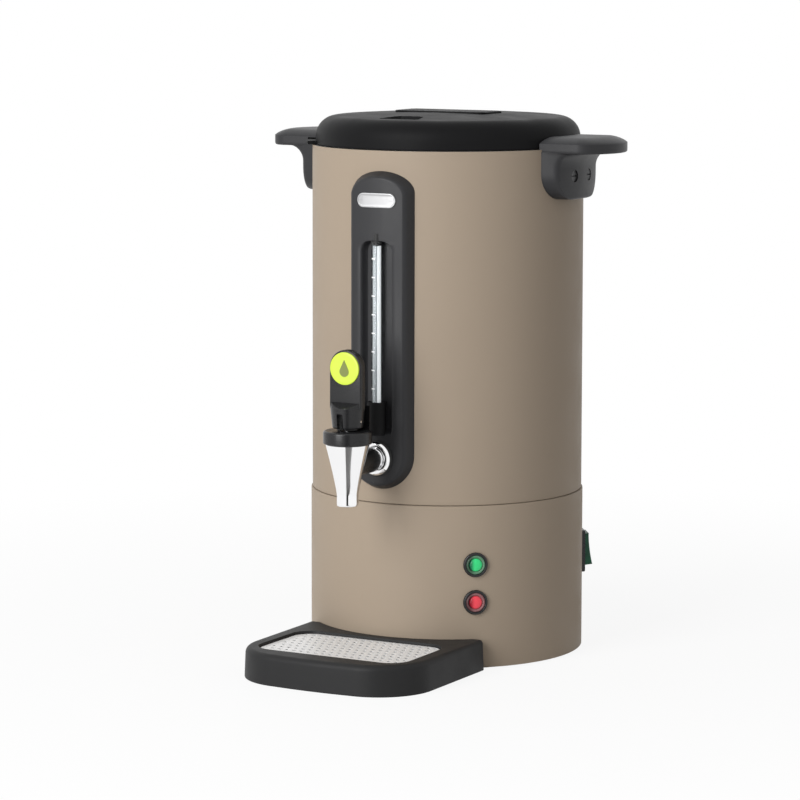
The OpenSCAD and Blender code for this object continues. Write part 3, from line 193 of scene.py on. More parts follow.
def surface(name, colour, rough, metal=0.0, grain=900.0, depth=0.00001, drift=0.06, stretch=(1, 1, 1),
            shine=0.5):
    """Colour and roughness drift by a share with slow noise; a fine noise, pulled out along an axis
    where stretch is small, gives the grain as relief of the given depth in metres."""
    m, shader, add, link = tree(name, Metallic=metal, Specular_IOR_Level=shine)
    place = add("ShaderNodeTexCoord")
    pull = add("ShaderNodeMapping", Scale=stretch)
    link(place.outputs["Object"], pull.inputs["Vector"])
    slow = add("ShaderNodeTexNoise", Scale=34.0, Detail=5.0, Roughness=0.6)
    link(pull.outputs["Vector"], slow.inputs["Vector"])
    fine = add("ShaderNodeTexNoise", Scale=grain, Detail=4.0, Roughness=0.55)
    link(pull.outputs["Vector"], fine.inputs["Vector"])
    shades = add("ShaderNodeMix", data_type="RGBA")
    shades.inputs["A"].default_value = [c * (1 - drift) for c in colour] + [1]
    shades.inputs["B"].default_value = [min(1, c * (1 + drift)) for c in colour] + [1]
    link(slow.outputs["Fac"], shades.inputs["Factor"])
    link(shades.outputs["Result"], shader.inputs["Base Color"])
    gloss = ramp(add, 0.1, 0.42, rough * 0.82, rough * 1.18)
    both = add("ShaderNodeMath", operation="MULTIPLY")
    link(slow.outputs["Fac"], both.inputs[0])
    link(fine.outputs["Fac"], both.inputs[1])
    link(both.outputs["Value"], gloss.inputs["Value"])
    link(gloss.outputs["Result"], shader.inputs["Roughness"])
    relief = add("ShaderNodeBump", Strength=1.0, Distance=depth)
    link(fine.outputs["Fac"], relief.inputs["Height"])
    link(relief.outputs["Normal"], shader.inputs["Normal"])
    return m


def dress(material, *names):
    """Gives carried-over construction nodes their material."""
    for name in names:
        for s in nodes[name].material_slots:
            s.material = material


rubber = surface("moulded_rubber", (0.018, 0.018, 0.018), 0.7, grain=2600, depth=0.00002)
zinc = surface("zinc_sheet", (0.55, 0.56, 0.58), 0.38, metal=1.0, grain=420, depth=0.000004, drift=0.16)
screw_steel = surface("turned_steel", (0.6, 0.6, 0.61), 0.3, metal=1.0, grain=1500, depth=0.000005, drift=0.1)
foot_line = rounded([[0, 0], [9, 0], [9, 3], [2.85, 3], [2.85, 5.9], [4.4, 5.9], [3.4, 7.3], [0, 7.3]],
                    [0, 0.7, 0.5, 0.2, 0.2, 0.3, 0.4, 0])
foot_ring = 95.0
feet = [moved(spun(foot_line, 48), at=foot_ring * np.array([np.cos(a), np.sin(a), 0]))
        for a in np.radians([45, 135, 225, 315])]
piece("rubber_foot_pads", feet, rubber, stands_for=("rubber_feet",))
dress(zinc, "bottom_plate", "clamp_plate")
dress(screw_steel, "base_screws", "tie_rods", "handle_nuts", "panel_screws", "inlet_screws", "lid_screws",
      "sight_seat_nut")

# Base casing: deep-drawn sheet steel, enamelled in satin taupe. Its wall reaches down almost to the
# table, a turned-in edge behind it holds the bottom plate, and it steps in at the top to a collar that
# the upper casing stands on, which leaves the fine line at the seam.
casing_r, base_r, seam_z = 105.0, 106.0, 124.5
enamel = surface("taupe_enamel", (0.33, 0.267, 0.204), 0.52, grain=1300, depth=0.000004, drift=0.015,
                 shine=0.14)
base_line = rounded(
    [[86.6, 3], [104.6, 3], [104.6, 0.6], [base_r, 0.6], [base_r, seam_z], [103.4, seam_z], [103.4, 129.4],
     [102, 129.4], [102, 123.1], [104.6, 123.1], [104.6, 4.4], [86.6, 4.4]],
    [0.4, 0.3, 0.4, 0.6, 0.9, 0.1, 0.4, 0.4, 0.3, 0.3, 0.4, 0.4], steps=8)
lamp_angle, lamp_heights = 40.0, {"green": 79.8, "red": 51.1}
switch_angle, switch_z, inlet_angle, inlet_z = 125.0, 72.0, 180.0, 62.0
base_holes = {(lamp_angle, height): "round" for height in lamp_heights.values()}
base_holes |= {(switch_angle, switch_z): (11.4, 15.4, 1), (inlet_angle, inlet_z): (10.1, 13.9, 2)}


def slab(outline, levels):
    """A closed outline in X and Y carried up Z: levels are (z, inset) pairs, where a positive inset
    draws the outline in along its normals."""
    outline = np.asarray(outline, float)
    ahead, behind = np.roll(outline, -1, 0), np.roll(outline, 1, 0)
    along = ahead - behind
    normal = np.stack([-along[:, 1], along[:, 0]], -1)
    normal /= np.maximum(np.linalg.norm(normal, axis=1, keepdims=True), 1e-9)
    area = np.sum(outline[:, 0] * ahead[:, 1] - ahead[:, 0] * outline[:, 1])
    normal *= np.sign(area)
    rows = [np.column_stack([outline + normal * inset, np.full(len(outline), z)]) for z, inset in levels]
    return skin(np.array(rows))


def box_outline(half_w, half_h, r, steps=8):
    """A rectangle centred on the origin with rounded corners."""
    return rounded([[-half_w, -half_h], [half_w, -half_h], [half_w, half_h], [-half_w, half_h]], [r] * 4, steps)


cutters = []
for (angle, height), form in base_holes.items():
    if form == "round":
        bore = drill(8.35, base_r - 9, base_r + 9, 64)
    else:
        bore = slab(box_outline(*form), [(base_r - 9, 0), (base_r + 9, 0)])
    cutters.append(facing(bore, angle, height))
base = carved(mesh_of("base", [spun(base_line, 288)]), [cutters])
piece("base_shell", base, enamel, stands_for=("base_casing",))

# Pilot lamps: a black moulded bezel clipped through the base, and a coloured lens whose clear rim
# stands round a bright core. The green one is above the red one. Rim and core are painted darker
# towards the lens's left edge: painted shade.
bezel_r = 9.4
gloss_black = surface("smooth_black_moulding", (0.012, 0.012, 0.013), 0.28, grain=1800, depth=0.000003,
                      drift=0.1, shine=0.35)


def hugging(part, radius, reach):
    """Points near the part's back (local z under reach) move onto a cylinder about the urn's axis,
    so a flange follows the casing: z = sqrt(radius^2 - x^2)."""
    p = part[0].copy()
    back = p[:, 2] < reach
    p[back, 2] = np.sqrt(np.maximum(radius ** 2 - p[back, 0] ** 2, 1))
    return p, part[1]


def lens_material(name, deep, bright, glow, shade_axis=None):
    """Tinted plastic that goes from deep to bright along a direction, as painted shade towards one side of
    the lens, or in slow blotches if none is given; fine cells stand for the moulded prisms."""
    m, shader, add, link = tree(name, Emission_Strength=glow, Roughness=0.34, Specular_IOR_Level=0.3)
    place = add("ShaderNodeTexCoord")
    cells = add("ShaderNodeTexVoronoi", Scale=1400.0)
    link(place.outputs["Object"], cells.inputs["Vector"])
    shades = add("ShaderNodeMix", data_type="RGBA")
    shades.inputs["A"].default_value, shades.inputs["B"].default_value = deep + (1,), bright + (1,)
    if shade_axis:
        # Painted shade: colour and glow fall to deep towards the lens's left edge.
        along = add("ShaderNodeVectorMath", operation="DOT_PRODUCT")
        along.inputs[1].default_value = shade_axis
        link(place.outputs["Object"], along.inputs[0])
        share = ramp(add, -0.0044, -0.0006, interpolation_type="SMOOTHSTEP")
        link(along.outputs["Value"], share.inputs["Value"])
        link(share.outputs["Result"], shades.inputs["Factor"])
    else:
        blotch = add("ShaderNodeTexNoise", Scale=260.0, Detail=3.0)
        link(place.outputs["Object"], blotch.inputs["Vector"])
        link(blotch.outputs["Fac"], shades.inputs["Factor"])
    link(shades.outputs["Result"], shader.inputs["Base Color"])
    link(shades.outputs["Result"], shader.inputs["Emission Color"])
    relief = add("ShaderNodeBump", Strength=0.5, Distance=0.00008)
    link(cells.outputs["Distance"], relief.inputs["Height"])
    link(relief.outputs["Normal"], shader.inputs["Normal"])
    return m


bezel_line = rounded([[7.5, -12], [8.25, -12], [8.25, 0], [bezel_r, 0], [bezel_r, 2.1], [7.5, 2.1], [7.5, 0.4]],
                     [0.2, 0.2, 0, 0, 1.1, 0.5, 0.2])
bezels = []
for height in lamp_heights.values():
    ring = spun(bezel_line, 72)
    ring[0][:, 2] += np.where(ring[0][:, 2] > -0.5, np.sqrt(base_r ** 2 - ring[0][:, 0] ** 2) - base_r, 0)
    ring[0][:, 2] += base_r + 0.06
    bezels.append(facing(ring, lamp_angle, height))
piece("lamp_bezel_rings", bezels, gloss_black, stands_for=("lamp_bezels",))
rim_line = rounded([[4.9, -10], [7.3, -10], [7.3, 1.4], [6.1, 2.0], [4.9, 0.8]], [0.2, 0.2, 0.5, 0.6, 0.2])
core_r = 4.8
core_line = [[0, -9], [core_r, -9]]
core_line += [[core_r * np.cos(t), 0.7 + 2.3 * np.sin(t) ** 0.6] for t in np.linspace(0, np.pi / 2, 14)]
tints = {"green": ((0.005, 0.09, 0.04), (0.03, 0.5, 0.16), 0.35),
         "red": ((0.18, 0.004, 0.012), (0.62, 0.05, 0.07), 0.32)}
lamp_side = (float(np.cos(np.radians(lamp_angle))), float(np.sin(np.radians(lamp_angle))), 0.0)
for tint, height in lamp_heights.items():
    deep, bright, glow = tints[tint]
    pale = tuple(0.25 * c + 0.11 for c in bright)
    # Both the rim and the core take the painted shade towards the lens's left edge.
    rim_plastic = lens_material(tint + "_lens_rim", tuple(0.4 * c for c in pale), pale, 0.0, lamp_side)
    core_plastic = lens_material(tint + "_lens_core", deep, bright, glow, lamp_side)
    rim, core = spun(rim_line, 64), spun(core_line, 48)
    for part in (rim, core):
        part[0][:, 2] += base_r
    piece(tint + "_lens_ring", [facing(rim, lamp_angle, height)], rim_plastic)
    piece(tint + "_lens_dome", [facing(core, lamp_angle, height)], core_plastic, stands_for=(tint + "_lamp",))
ivory = surface("ivory_heat_plastic", (0.72, 0.69, 0.6), 0.5, grain=1500, depth=0.00001)
dress(ivory, "lamp_nuts", "terminal_block", "shank_spacer")

# Rocker switch at the right rear: a black snap-in frame with a raised edge, and a translucent green
# rocker, pressed in at its upper half, that turns on two short pins.
switch_w, switch_h = 26.0, 33.0


def window(outer, inner, levels_out, levels_in):
    """A frame: the outer outline goes up through its levels and the inner outline comes back down."""
    up, down = slab(outer, levels_out)[0], slab(inner, levels_in)[0]
    n = len(outer)
    return skin(np.concatenate([up.reshape(-1, n, 3), down.reshape(-1, n, 3)]), closed=True)


frame_out, frame_in = box_outline(switch_w / 2, switch_h / 2, 2), box_outline(9.4, 14.1, 0.8)
flange = window(frame_out, frame_in,
                [(base_r - 1.6, 0), (base_r + 1.2, 0), (base_r + 1.8, 0.25), (base_r + 2.0, 0.9)],
                [(base_r + 2.0, -0.5), (base_r + 1.6, -0.05), (base_r - 1.6, 0)])
well_out = box_outline(11.3, 15.3, 1)
well = window(well_out, frame_in, [(base_r - 17.8, 0), (base_r - 0.5, 0)],
              [(base_r - 0.5, 0), (base_r - 15, 0)])
back = slab(well_out, [(base_r - 17.9, 0), (base_r - 15, 0)])
piece("switch_surround", [facing(hugging(flange, base_r + 0.06, base_r - 1), switch_angle, switch_z),
                          facing(well, switch_angle, switch_z), facing(back, switch_angle, switch_z)],
      gloss_black, stands_for=("switch_frame",))
green_plastic = lens_material("green_rocker_plastic", (0.0, 0.035, 0.016), (0.006, 0.13, 0.06), 0.0)
wave = np.linspace(-1, 1, 25)
top = np.stack([12.4 * wave, 10.15 + 0.65 * wave ** 2], -1)
side = np.concatenate([top, [[12.4, 2], [6.2, -6], [-6.2, -6], [-12.4, 2]]])
rocker = slab(side, [(-9.1, 0.6), (-8.7, 0.15), (-8.2, 0), (8.2, 0), (8.7, 0.15), (9.1, 0.6)])
rocker = moved(lying(rocker), tilt=-7)
pins = lying(slab(box_outline(1.45, 1.45, 1.44, 6), [(-10.0, 0), (10.0, 0)]))
for part in (rocker, pins):
    part[0][:, 2] += base_r - 4
piece("switch_key", [facing(rocker, switch_angle, switch_z), facing(pins, switch_angle, switch_z)],
      green_plastic, "rocker", ("switch_rocker",), sharp=40)

# Power inlet at the back: a black moulded shroud with two screws, and three brass pins that the
# loose connector of a mains lead would push on.
mouth, shroud_out = box_outline(8.4, 12.2, 1.4), box_outline(10, 13.8, 2)
inlet_frame = window(box_outline(14, 25, 3), mouth,
                     [(base_r - 1.6, 0), (base_r + 1.8, 0), (base_r + 2.3, 0.2), (base_r + 2.5, 0.8)],
                     [(base_r + 2.5, -0.5), (base_r + 2.1, 0), (base_r - 1.6, 0)])
inlet_well = window(shroud_out, mouth, [(base_r - 17.9, 0), (base_r - 0.5, 0)],
                    [(base_r - 0.5, 0), (base_r - 16, 0)])
inlet_back = slab(shroud_out, [(base_r - 17.95, 0), (base_r - 16, 0)])
inlet_holes = [facing(moved(drill(1.9, base_r - 6, base_r + 6), at=(0, y, 0)), inlet_angle, inlet_z)
               for y in (-20, 20)]
inlet = mesh_of("inlet", [facing(hugging(inlet_frame, base_r + 0.06, base_r - 1), inlet_angle, inlet_z)])
piece("inlet_flange", carved(inlet, [inlet_holes]), gloss_black)
piece("inlet_shroud", [facing(part, inlet_angle, inlet_z) for part in (inlet_well, inlet_back)], gloss_black,
      stands_for=("power_inlet",))
brass = surface("machined_brass", (0.62, 0.43, 0.16), 0.28, metal=1.0, grain=1500, depth=0.000004, drift=0.12)
dress(brass, "inlet_pins", "shank_nut")

# Heating: a cast aluminium ring round the well under the tank, held up by a clamp plate on three
# studs, with a keep-warm band, a thermostat, a cutout and silicone covered wires.
cast = surface("cast_aluminium", (0.5, 0.5, 0.52), 0.55, metal=1.0, grain=700, depth=0.00006, drift=0.2)
mica = surface("mica_band", (0.32, 0.21, 0.11), 0.6, grain=900, depth=0.00002, drift=0.25)
ceramic = surface("unglazed_ceramic", (0.74, 0.72, 0.66), 0.75, grain=1600, depth=0.00002)
phenolic = surface("dark_phenolic", (0.06, 0.055, 0.055), 0.5, grain=1500, depth=0.00001)
silicone = surface("silicone_wire", (0.42, 0.08, 0.05), 0.5, grain=1200, depth=0.00001, drift=0.15)
dress(cast, "heating_element")
dress(mica, "keep_warm_element")
dress(ceramic, "thermostat")
dress(phenolic, "thermal_cutout")
dress(silicone, "wiring")

# Tank: deep-drawn stainless steel whose rim turns out into a rebate in the casing's edge. The brushing
# runs round the wall, so the noise is squeezed along Z and pulled out in the other two directions.
tank_steel = surface("brushed_tank_steel", (0.62, 0.62, 0.63), 0.3, metal=1.0, grain=1500, depth=0.000006,
                     drift=0.08, stretch=(0.06, 0.06, 1))
dress(tank_steel, "tank", "heating_well")

# Upper casing: the same enamelled sheet, rolled into a tube. Its lower edge stands a hair above the
# base's step, and the panel and the handles cover its screw holes.
rim_z = 391.2
shell_line = rounded([[103.6, seam_z + 0.35], [casing_r, seam_z + 0.35], [casing_r, rim_z], [104.3, rim_z],
                      [104.3, 390], [103.6, 390]], [0.2, 0.55, 0.25, 0.15, 0, 0.2], steps=5)
piece("upper_shell", [spun(shell_line, 288)], enamel, stands_for=("outer_casing",))

# Handles: two black mouldings, each a domed ledge with a drafted bracket that hugs the casing,
# fixed by two screws. The slot above the tank's rim takes the lid's lug.
grip_z, grip_edge, bracket_low, bracket_r = 388.5, 395.8, 353.0, 116.0
hug_r, lid_room_r, screw_y, screw_z = 105.06, 103.25, 12, 370.75
matte_black = surface("grained_black_moulding", (0.02, 0.02, 0.022), 0.46, grain=2300, depth=0.000014,
                      drift=0.08, shine=0.32)


def sector(r_out, r_in, t):
    """A slice of a ring seen from above: along the outer arc, and back along the inner one."""
    rim = np.stack([np.cos(t), np.sin(t)], -1)
    return np.concatenate([r_out * rim, r_in * rim[::-1]])


def ledge_outline(inner_r, inset=0.0):
    """The ledge seen from above, drawn in by the inset: a bowed outer end, two tight corners, nearly
    straight sides, and an arc about the urn's axis at the inner radius, which is not drawn in."""
    half_w, bow, corner, root_w, end_x = np.array([36.0, 50.0, 14.0, 35.5, 148.0]) - inset
    lean = np.arcsin((half_w - corner) / (bow - corner))

    def arc(centre, r, a, b, n):
        s = np.linspace(a, b, n)
        return np.array(centre) + r * np.stack([np.cos(s), np.sin(s)], -1)

    mid = end_x - bow
    turn = np.array([mid + (bow - corner) * np.cos(lean), half_w - corner])
    side = [[105.5, -root_w], [112, -root_w - 0.15], [119, -root_w - 0.35]]
    outer = np.concatenate([side, arc(turn * [1, -1], corner, -np.pi / 2, -lean, 14)[:-1],
                            arc((mid, 0), bow, -lean, lean, 33), arc(turn, corner, lean, np.pi / 2, 14)[1:],
                            (np.array(side) * [1, -1])[::-1]])
    a = np.arcsin(root_w / inner_r)
    return np.concatenate([outer, arc((0, 0), inner_r, a, -a, 41)])


def ledge():
    """The outline rises from a small edge radius, keeps clear of the casing, leaves room for the lid
    above the rim, and draws in over a crisp edge under a low dome."""
    dome = [(0.05, 0), (0.4, 0.45), (1.5, 1.25), (3, 2.1), (5, 3.0), (7.5, 3.85), (10, 4.45), (12, 4.75),
            (13.5, 4.85)]
    levels = [(hug_r, 1.3, grip_z), (hug_r, 0.5, grip_z + 0.35), (hug_r, 0, grip_z + 1.2), (hug_r, 0, 391.28),
              (lid_room_r, 0, 391.3), (lid_room_r, 0, grip_edge)]
    levels += [(lid_room_r, inset, grip_edge + up) for inset, up in dome]
    rows = []
    for radius, inset, z in levels:
        row = ledge_outline(radius, inset)
        rows.append(np.column_stack([row, np.full(len(row), z)]))
    return skin(np.array(rows))


def bracket():
    """Level sections from the lower edge up: the half width follows rounded lower corners, the outer
    face stands 11 mm off the casing, and near the ledge it sweeps out in a wide fillet."""
    half, corner, cove, top = 36.0, 20.0, 12.0, grip_z + 1.0
    z = np.concatenate([bracket_low + corner * (1 - np.cos(np.linspace(0, np.pi / 2, 20))),
                        np.linspace(bracket_low + corner + 0.5, grip_z - cove - 0.5, 5),
                        grip_z - cove + cove * np.sin(np.linspace(0, np.pi / 2, 16)), [top]])
    rows = []
    for h in z:
        up = min(h - bracket_low, corner)
        w = half - corner + np.sqrt(max(corner ** 2 - (corner - up) ** 2, 0))
        out = bracket_r - 1.6 * max(0, 1 - (h - bracket_low) / 1.6) ** 2
        rise = np.clip(h - (grip_z - cove), 0, cove)
        out += cove - np.sqrt(cove ** 2 - rise ** 2)
        t = np.linspace(0, 1, 13)
        curl = 1 - np.sqrt(1 - np.clip((t - 0.72) / 0.28, 0, 1) ** 2)
        r_side = hug_r + (out - hug_r) * t
        w_side = np.maximum(w - 2.2 * t - 1.5 * curl, 0.2)
        s = np.linspace(-1, 1, 27)[1:-1]
        front = np.stack([s * w_side[-1], s * 0 + r_side[-1]], -1)
        back = np.stack([-s * w, s * 0 + hug_r], -1)
        left, right = np.stack([-w_side, r_side], -1), np.stack([w_side, r_side], -1)
        loop = np.concatenate([left, front, right[::-1], back])
        x = np.sqrt(np.maximum(loop[:, 1] ** 2 - loop[:, 0] ** 2, 1))
        rows.append(np.column_stack([x, loop[:, 0], np.full(len(loop), h)]))
    return skin(np.array(rows))


slot_cut = slab(sector(110.9, 101, np.radians(np.linspace(-8.05, 30, 39))), [(391.4, 0), (395.2, 0)])
screw_wells = [moved(lying(drill(4.6, 112, 130, 48)), at=(0, y, screw_z)) for y in (-screw_y, screw_y)]
right = carved(mesh_of("right", [ledge()]), [[slot_cut]])
right_arm = carved(mesh_of("arm", [bracket()]), [screw_wells])
for side, turn in (("right", 0), ("left", 180)):
    for name, source, nodes_for in (("ledge", right, ()), ("bracket", right_arm, (side + "_handle",))):
        m = source.copy()
        m.transform(Matrix.Rotation(np.radians(turn), 4, "Z"))
        piece(side + "_handle_" + name, m, matte_black, stands_for=nodes_for)
black_steel = surface("blackened_screws", (0.06, 0.06, 0.062), 0.5, metal=0.2, grain=1500, depth=0.000005)
dress(black_steel, "handle_screws")

# Front panel: one black moulding with leaning sides, a full round foot and a low arched head. A
# shallow recess in its face holds the sight tube, and the badge is a bare satin plate.
panel_low, panel_top, panel_back, panel_face = 135.7, 376.0, 105.1, 113.5
panel_wide, panel_arch = 26.5, 16.0
recess_low, recess_top, recess_half, recess_corner, recess_floor = 177.3, 323.8, 12.5, 8.0, 107.6


def panel_half(t, h):
    """Half width at depth share t and height h: a half circle at the foot, straight sides, and half
    an ellipse at the head; each depth is drawn in by the lean and by the edge radius."""
    inset = 3.3 * t + 1.9 * (1 - np.sqrt(1 - np.clip((t - 0.74) / 0.26, 0, 1) ** 2))
    wide = panel_wide - inset
    low = np.sqrt(np.maximum(wide ** 2 - np.minimum(h - (panel_low + panel_wide), 0) ** 2, 0))
    rise = np.maximum(h - (panel_top - panel_arch - 2.2 * t), 0) / (panel_arch - 0.6 * inset)
    return np.minimum(low, wide * np.sqrt(np.maximum(1 - rise ** 2, 0)))


def panel_depth(h):
    """The largest depth share whose outline still reaches height h."""
    t = np.linspace(0, 1, 400)
    ok = panel_half(t, h) > 0.05
    return t[ok].max() if ok.any() else 0.0


def panel():
    """Level sections from foot to head, each a back arc, two leaning sides and a front arc that dips
    into the recess where there is one."""
    def ease(n):
        return np.sin(np.linspace(0, np.pi / 2, n))

    z = np.concatenate([panel_low + panel_wide * (1 - np.cos(np.linspace(0, np.pi / 2, 26))),
                        np.linspace(164, recess_low - 0.5, 6), recess_low + 7 * np.linspace(0, 1, 15),
                        np.linspace(recess_low + 8, recess_top - 9, 24), recess_top - 8 + 8 * ease(12),
                        [recess_top + 0.4, recess_top + 1.2], np.linspace(recess_top + 3, panel_top - 21, 9),
                        panel_top - 19.5 + 19.5 * ease(48)])
    rows = []
    for h in z:
        full = panel_depth(h)
        t = np.linspace(0, full, 17)
        r_side, w_side = panel_back + (panel_face - panel_back) * t, np.maximum(panel_half(t, h), 0.01)
        w, face = w_side[-1], r_side[-1]
        half = 0.0
        if recess_low <= h <= recess_top + 0.05:
            near = max(h - (recess_top - recess_corner), 0)
            half = recess_half - recess_corner + np.sqrt(max(recess_corner ** 2 - near ** 2, 0))
        soft = np.clip((h - recess_low) / 7, 0, 1)
        deep = (face - recess_floor) * soft * soft * (3 - 2 * soft) if half > 0 else 0.0
        if half == 0:
            half = 4.5 if h > recess_top else recess_half
        half = min(half, w * 0.8)
        crisp = np.array([w * 0.97, (w + half) / 2, half + 1.2, half + 0.55, half + 0.12, half, half - 0.05,
                          half - 0.4, half * 0.5, 0])
        gentle = np.array([w * 0.97, (w + half) / 2 + 1, half + 2, half + 1.1, half + 0.3, half - 0.5,
                           half - 1.3, half - 2.2, half * 0.5, 0])
        gentle = np.minimum(gentle, w * 0.97 - np.arange(10) * 0.02)
        crisp_dip = np.array([0, 0, 0, 0.06, 0.32, 0.5, 0.93, 1, 1, 1]) * deep
        gentle_dip = np.array([0, 0, 0.02, 0.1, 0.33, 0.6, 0.84, 0.97, 1, 1]) * deep
        x = np.concatenate([-gentle, crisp[::-1][1:]])
        r = face - np.concatenate([gentle_dip, crisp_dip[::-1][1:]])
        s = np.linspace(-1, 1, 19)[1:-1]
        back = np.stack([-s * w_side[0], 0 * s + panel_back], -1)
        loop = np.concatenate([np.stack([-w_side, r_side], -1), np.stack([x, r], -1),
                               np.stack([w_side, r_side], -1)[::-1], back])
        y = -np.sqrt(np.maximum(loop[:, 1] ** 2 - loop[:, 0] ** 2, 1))
        rows.append(np.column_stack([loop[:, 0], y, np.full(len(loop), h)]))
    return skin(np.array(rows))


piece("panel_moulding", [panel()], matte_black, stands_for=("front_panel",), sharp=38)
badge_z = 354.5
badge = slab(box_outline(16.3, 5.45, 5.4, 12),
             [(0, 0), (0.75, 0), (1.0, 0.15), (1.1, 0.5), (1.1, 0.9), (0.85, 1.3), (0.84, 2.6), (0.84, 4.0),
              (0.84, 5.2)])
badge[0][:, 2] += np.sqrt((panel_face + 0.06) ** 2 - badge[0][:, 0] ** 2)
satin = surface("satin_badge", (0.42, 0.42, 0.425), 0.42, metal=0.6, grain=2400, depth=0.000004, drift=0.05,
                stretch=(0.1, 1, 1))
piece("badge", [facing(badge, 0, badge_z)], satin, stands_for=("badge_plate",))

# Sight tube: clear tube with a grey strip and eight printed marks in it, and a white strip that glows a little as a
# painted reflection on its right side. It stands in a round black fitting that is screwed through to the tank; a
# rubber plug closes it at the top.
tube_d, tube_r, tube_low, tube_top, fitting_top = 112.2, 4.1, 191.5, 322.8, 202.8
first_mark, mark_step, mark_count = 212.9, 14.0, 8
clear, clear_shader, add, link = tree("clear_tube", Base_Color=(0.93, 0.96, 0.97, 1), Transmission_Weight=1.0,
                                      IOR=1.2)
haze = add("ShaderNodeTexNoise", Scale=180.0, Detail=4.0)
place = add("ShaderNodeTexCoord")
link(place.outputs["Object"], haze.inputs["Vector"])
spread = ramp(add, first=0.02, last=0.09)
link(haze.outputs["Fac"], spread.inputs["Value"])
link(spread.outputs["Result"], clear_shader.inputs["Roughness"])
tube_line = rounded([[3.4, tube_low], [tube_r, tube_low], [tube_r, tube_top], [3.4, tube_top]], [0.2, 0.4, 0.45, 0.2])
piece("level_tube", [moved(spun(tube_line, 48), at=(0, -tube_d, 0))], clear, stands_for=("sight_tube",))
white_print, tube_reflection = [surface(name, (0.97, 0.97, 0.97), 0.4, grain=2000, depth=0.000003, drift=0.03)
                        for name in ("white_print", "painted_tube_reflection")]
# The white strip glows a little: a painted reflection of the light that the clear tube mirrors on its right side.
tube_reflection_shader = tube_reflection.node_tree.nodes["Principled BSDF"]
tube_reflection_shader.inputs["Emission Color"].default_value = (1, 1, 1, 1)
tube_reflection_shader.inputs["Emission Strength"].default_value = 0.3
grey_core = surface("grey_level_strip", (0.5, 0.51, 0.52), 0.35, grain=1600, depth=0.000004, drift=0.08)


def strip(a0, a1, r0, r1, z0, z1):
    """A part of a ring between two angles from the front (degrees) about the tube's axis."""
    t = np.radians(np.linspace(a0, a1, 17))
    rim = np.stack([np.sin(t), -np.cos(t)], -1)
    ring = np.concatenate([r1 * rim, r0 * rim[::-1]])
    return moved(slab(ring, [(z0, 0), (z1, 0)]), at=(0, -tube_d, 0))


# Painted reflection: a glowing white strip inside the tube's right side.
piece("tube_reflection_strip", [strip(34, 130, 2.2, 3.2, tube_low + 1, tube_top - 2.4)], tube_reflection)
piece("tube_strip", [strip(-80, 26, 2.2, 3.0, tube_low + 1, tube_top - 2.4)], grey_core)
marks = [strip(-38, 8, tube_r + 0.005, tube_r + 0.06, z - 0.45, z + 0.45)
         for z in first_mark + mark_step * np.arange(mark_count)]
piece("level_marks", marks, white_print)
fitting_line = rounded([[4.6, 178.2], [7, 178.2], [7, fitting_top], [5.6, fitting_top], [5.6, 191.4], [4.6, 191.4]],
                       [0.2, 0.8, 0.9, 0.3, 0.1, 0.1])
fitting = spun(fitting_line, 72)
fitting[0][:, 1] = np.minimum(fitting[0][:, 1], tube_d - recess_floor - 0.1)
dark_moulding = surface("dark_fitting", (0.014, 0.014, 0.0145), 0.6, grain=2000, depth=0.00001, drift=0.1, shine=0.1)
piece("tube_fitting", [moved(fitting, at=(0, -tube_d, 0))], dark_moulding)
dress(dark_moulding, "sight_seat_block")
dress(rubber, "sight_tube_plug", "sight_tube_seal", "shank_washer", "lid_gasket")

# Tap shank and collar: a chromed brass tube through the panel, and a domed chrome ring on a black
# seal where it leaves the panel.
tap_z, tap_d = 160.0, 156.0
chrome = surface("chrome_plate", (0.93, 0.93, 0.935), 0.07, metal=1.0, grain=900, depth=0.0000012, drift=0.02)
collar_line = rounded([[8.05, 112.9], [13, 112.9], [13, 115.4], [11.4, 117.4], [9.2, 117.4], [8.05, 116.2]],
                      [0, 0.3, 1.4, 1.3, 0.7, 0.3], steps=8)
piece("collar_ring", [facing(spun(collar_line, 96), 0, tap_z)], chrome, stands_for=("shank_collar",))
seal_line = rounded([[12.6, 112.6], [14.0, 112.6], [14.0, 114.0], [12.9, 114.4]], [0, 0.3, 0.5, 0.3])
piece("collar_seal", [facing(spun(seal_line, 96), 0, tap_z)], rubber)
dress(chrome, "tap_shank")

# Tap body: chromed casting, a long cone that runs into a straight outlet, with a black sleeve over
# the boss that screws on the shank. It is hollow, and the seat for the stem's cup is inside.
outlet_z, ring_z, cone_r, spout_r = 130.0, 176.7, 16.6, 8.0


def cone_radius(z):
    """Radius of the outside: straight at the outlet, easing over a long sweep into the cone."""
    u = np.clip((z - 138) / (ring_z - 138), 0, 1)
    return spout_r + (cone_r - spout_r) * (u ** 1.18)


up = np.linspace(outlet_z + 0.5, ring_z - 0.6, 40)
outside = np.stack([cone_radius(up), up], -1)
inside = [[cone_r - 3.6, ring_z], [cone_r - 3.6, 169.7], [cone_radius(167.0) - 2.5, 167.7], [8.5, 151],
          [6, 151], [6, outlet_z + 0.2]]
body_line = np.concatenate([[[6.3, outlet_z], [spout_r - 0.4, outlet_z]], outside, [[cone_r - 0.5, ring_z]],
                            inside])
boss_line = rounded([[8.02, 122], [9.5, 122], [9.5, 147], [8.02, 147]], [0.2, 1.4, 0, 0])
piece("spout_cone", [moved(spun(body_line, 128), at=(0, -tap_d, 0))], chrome, stands_for=("tap_body",), sharp=40)
piece("tap_neck", [facing(spun(boss_line, 72), 0, tap_z)], gloss_black)

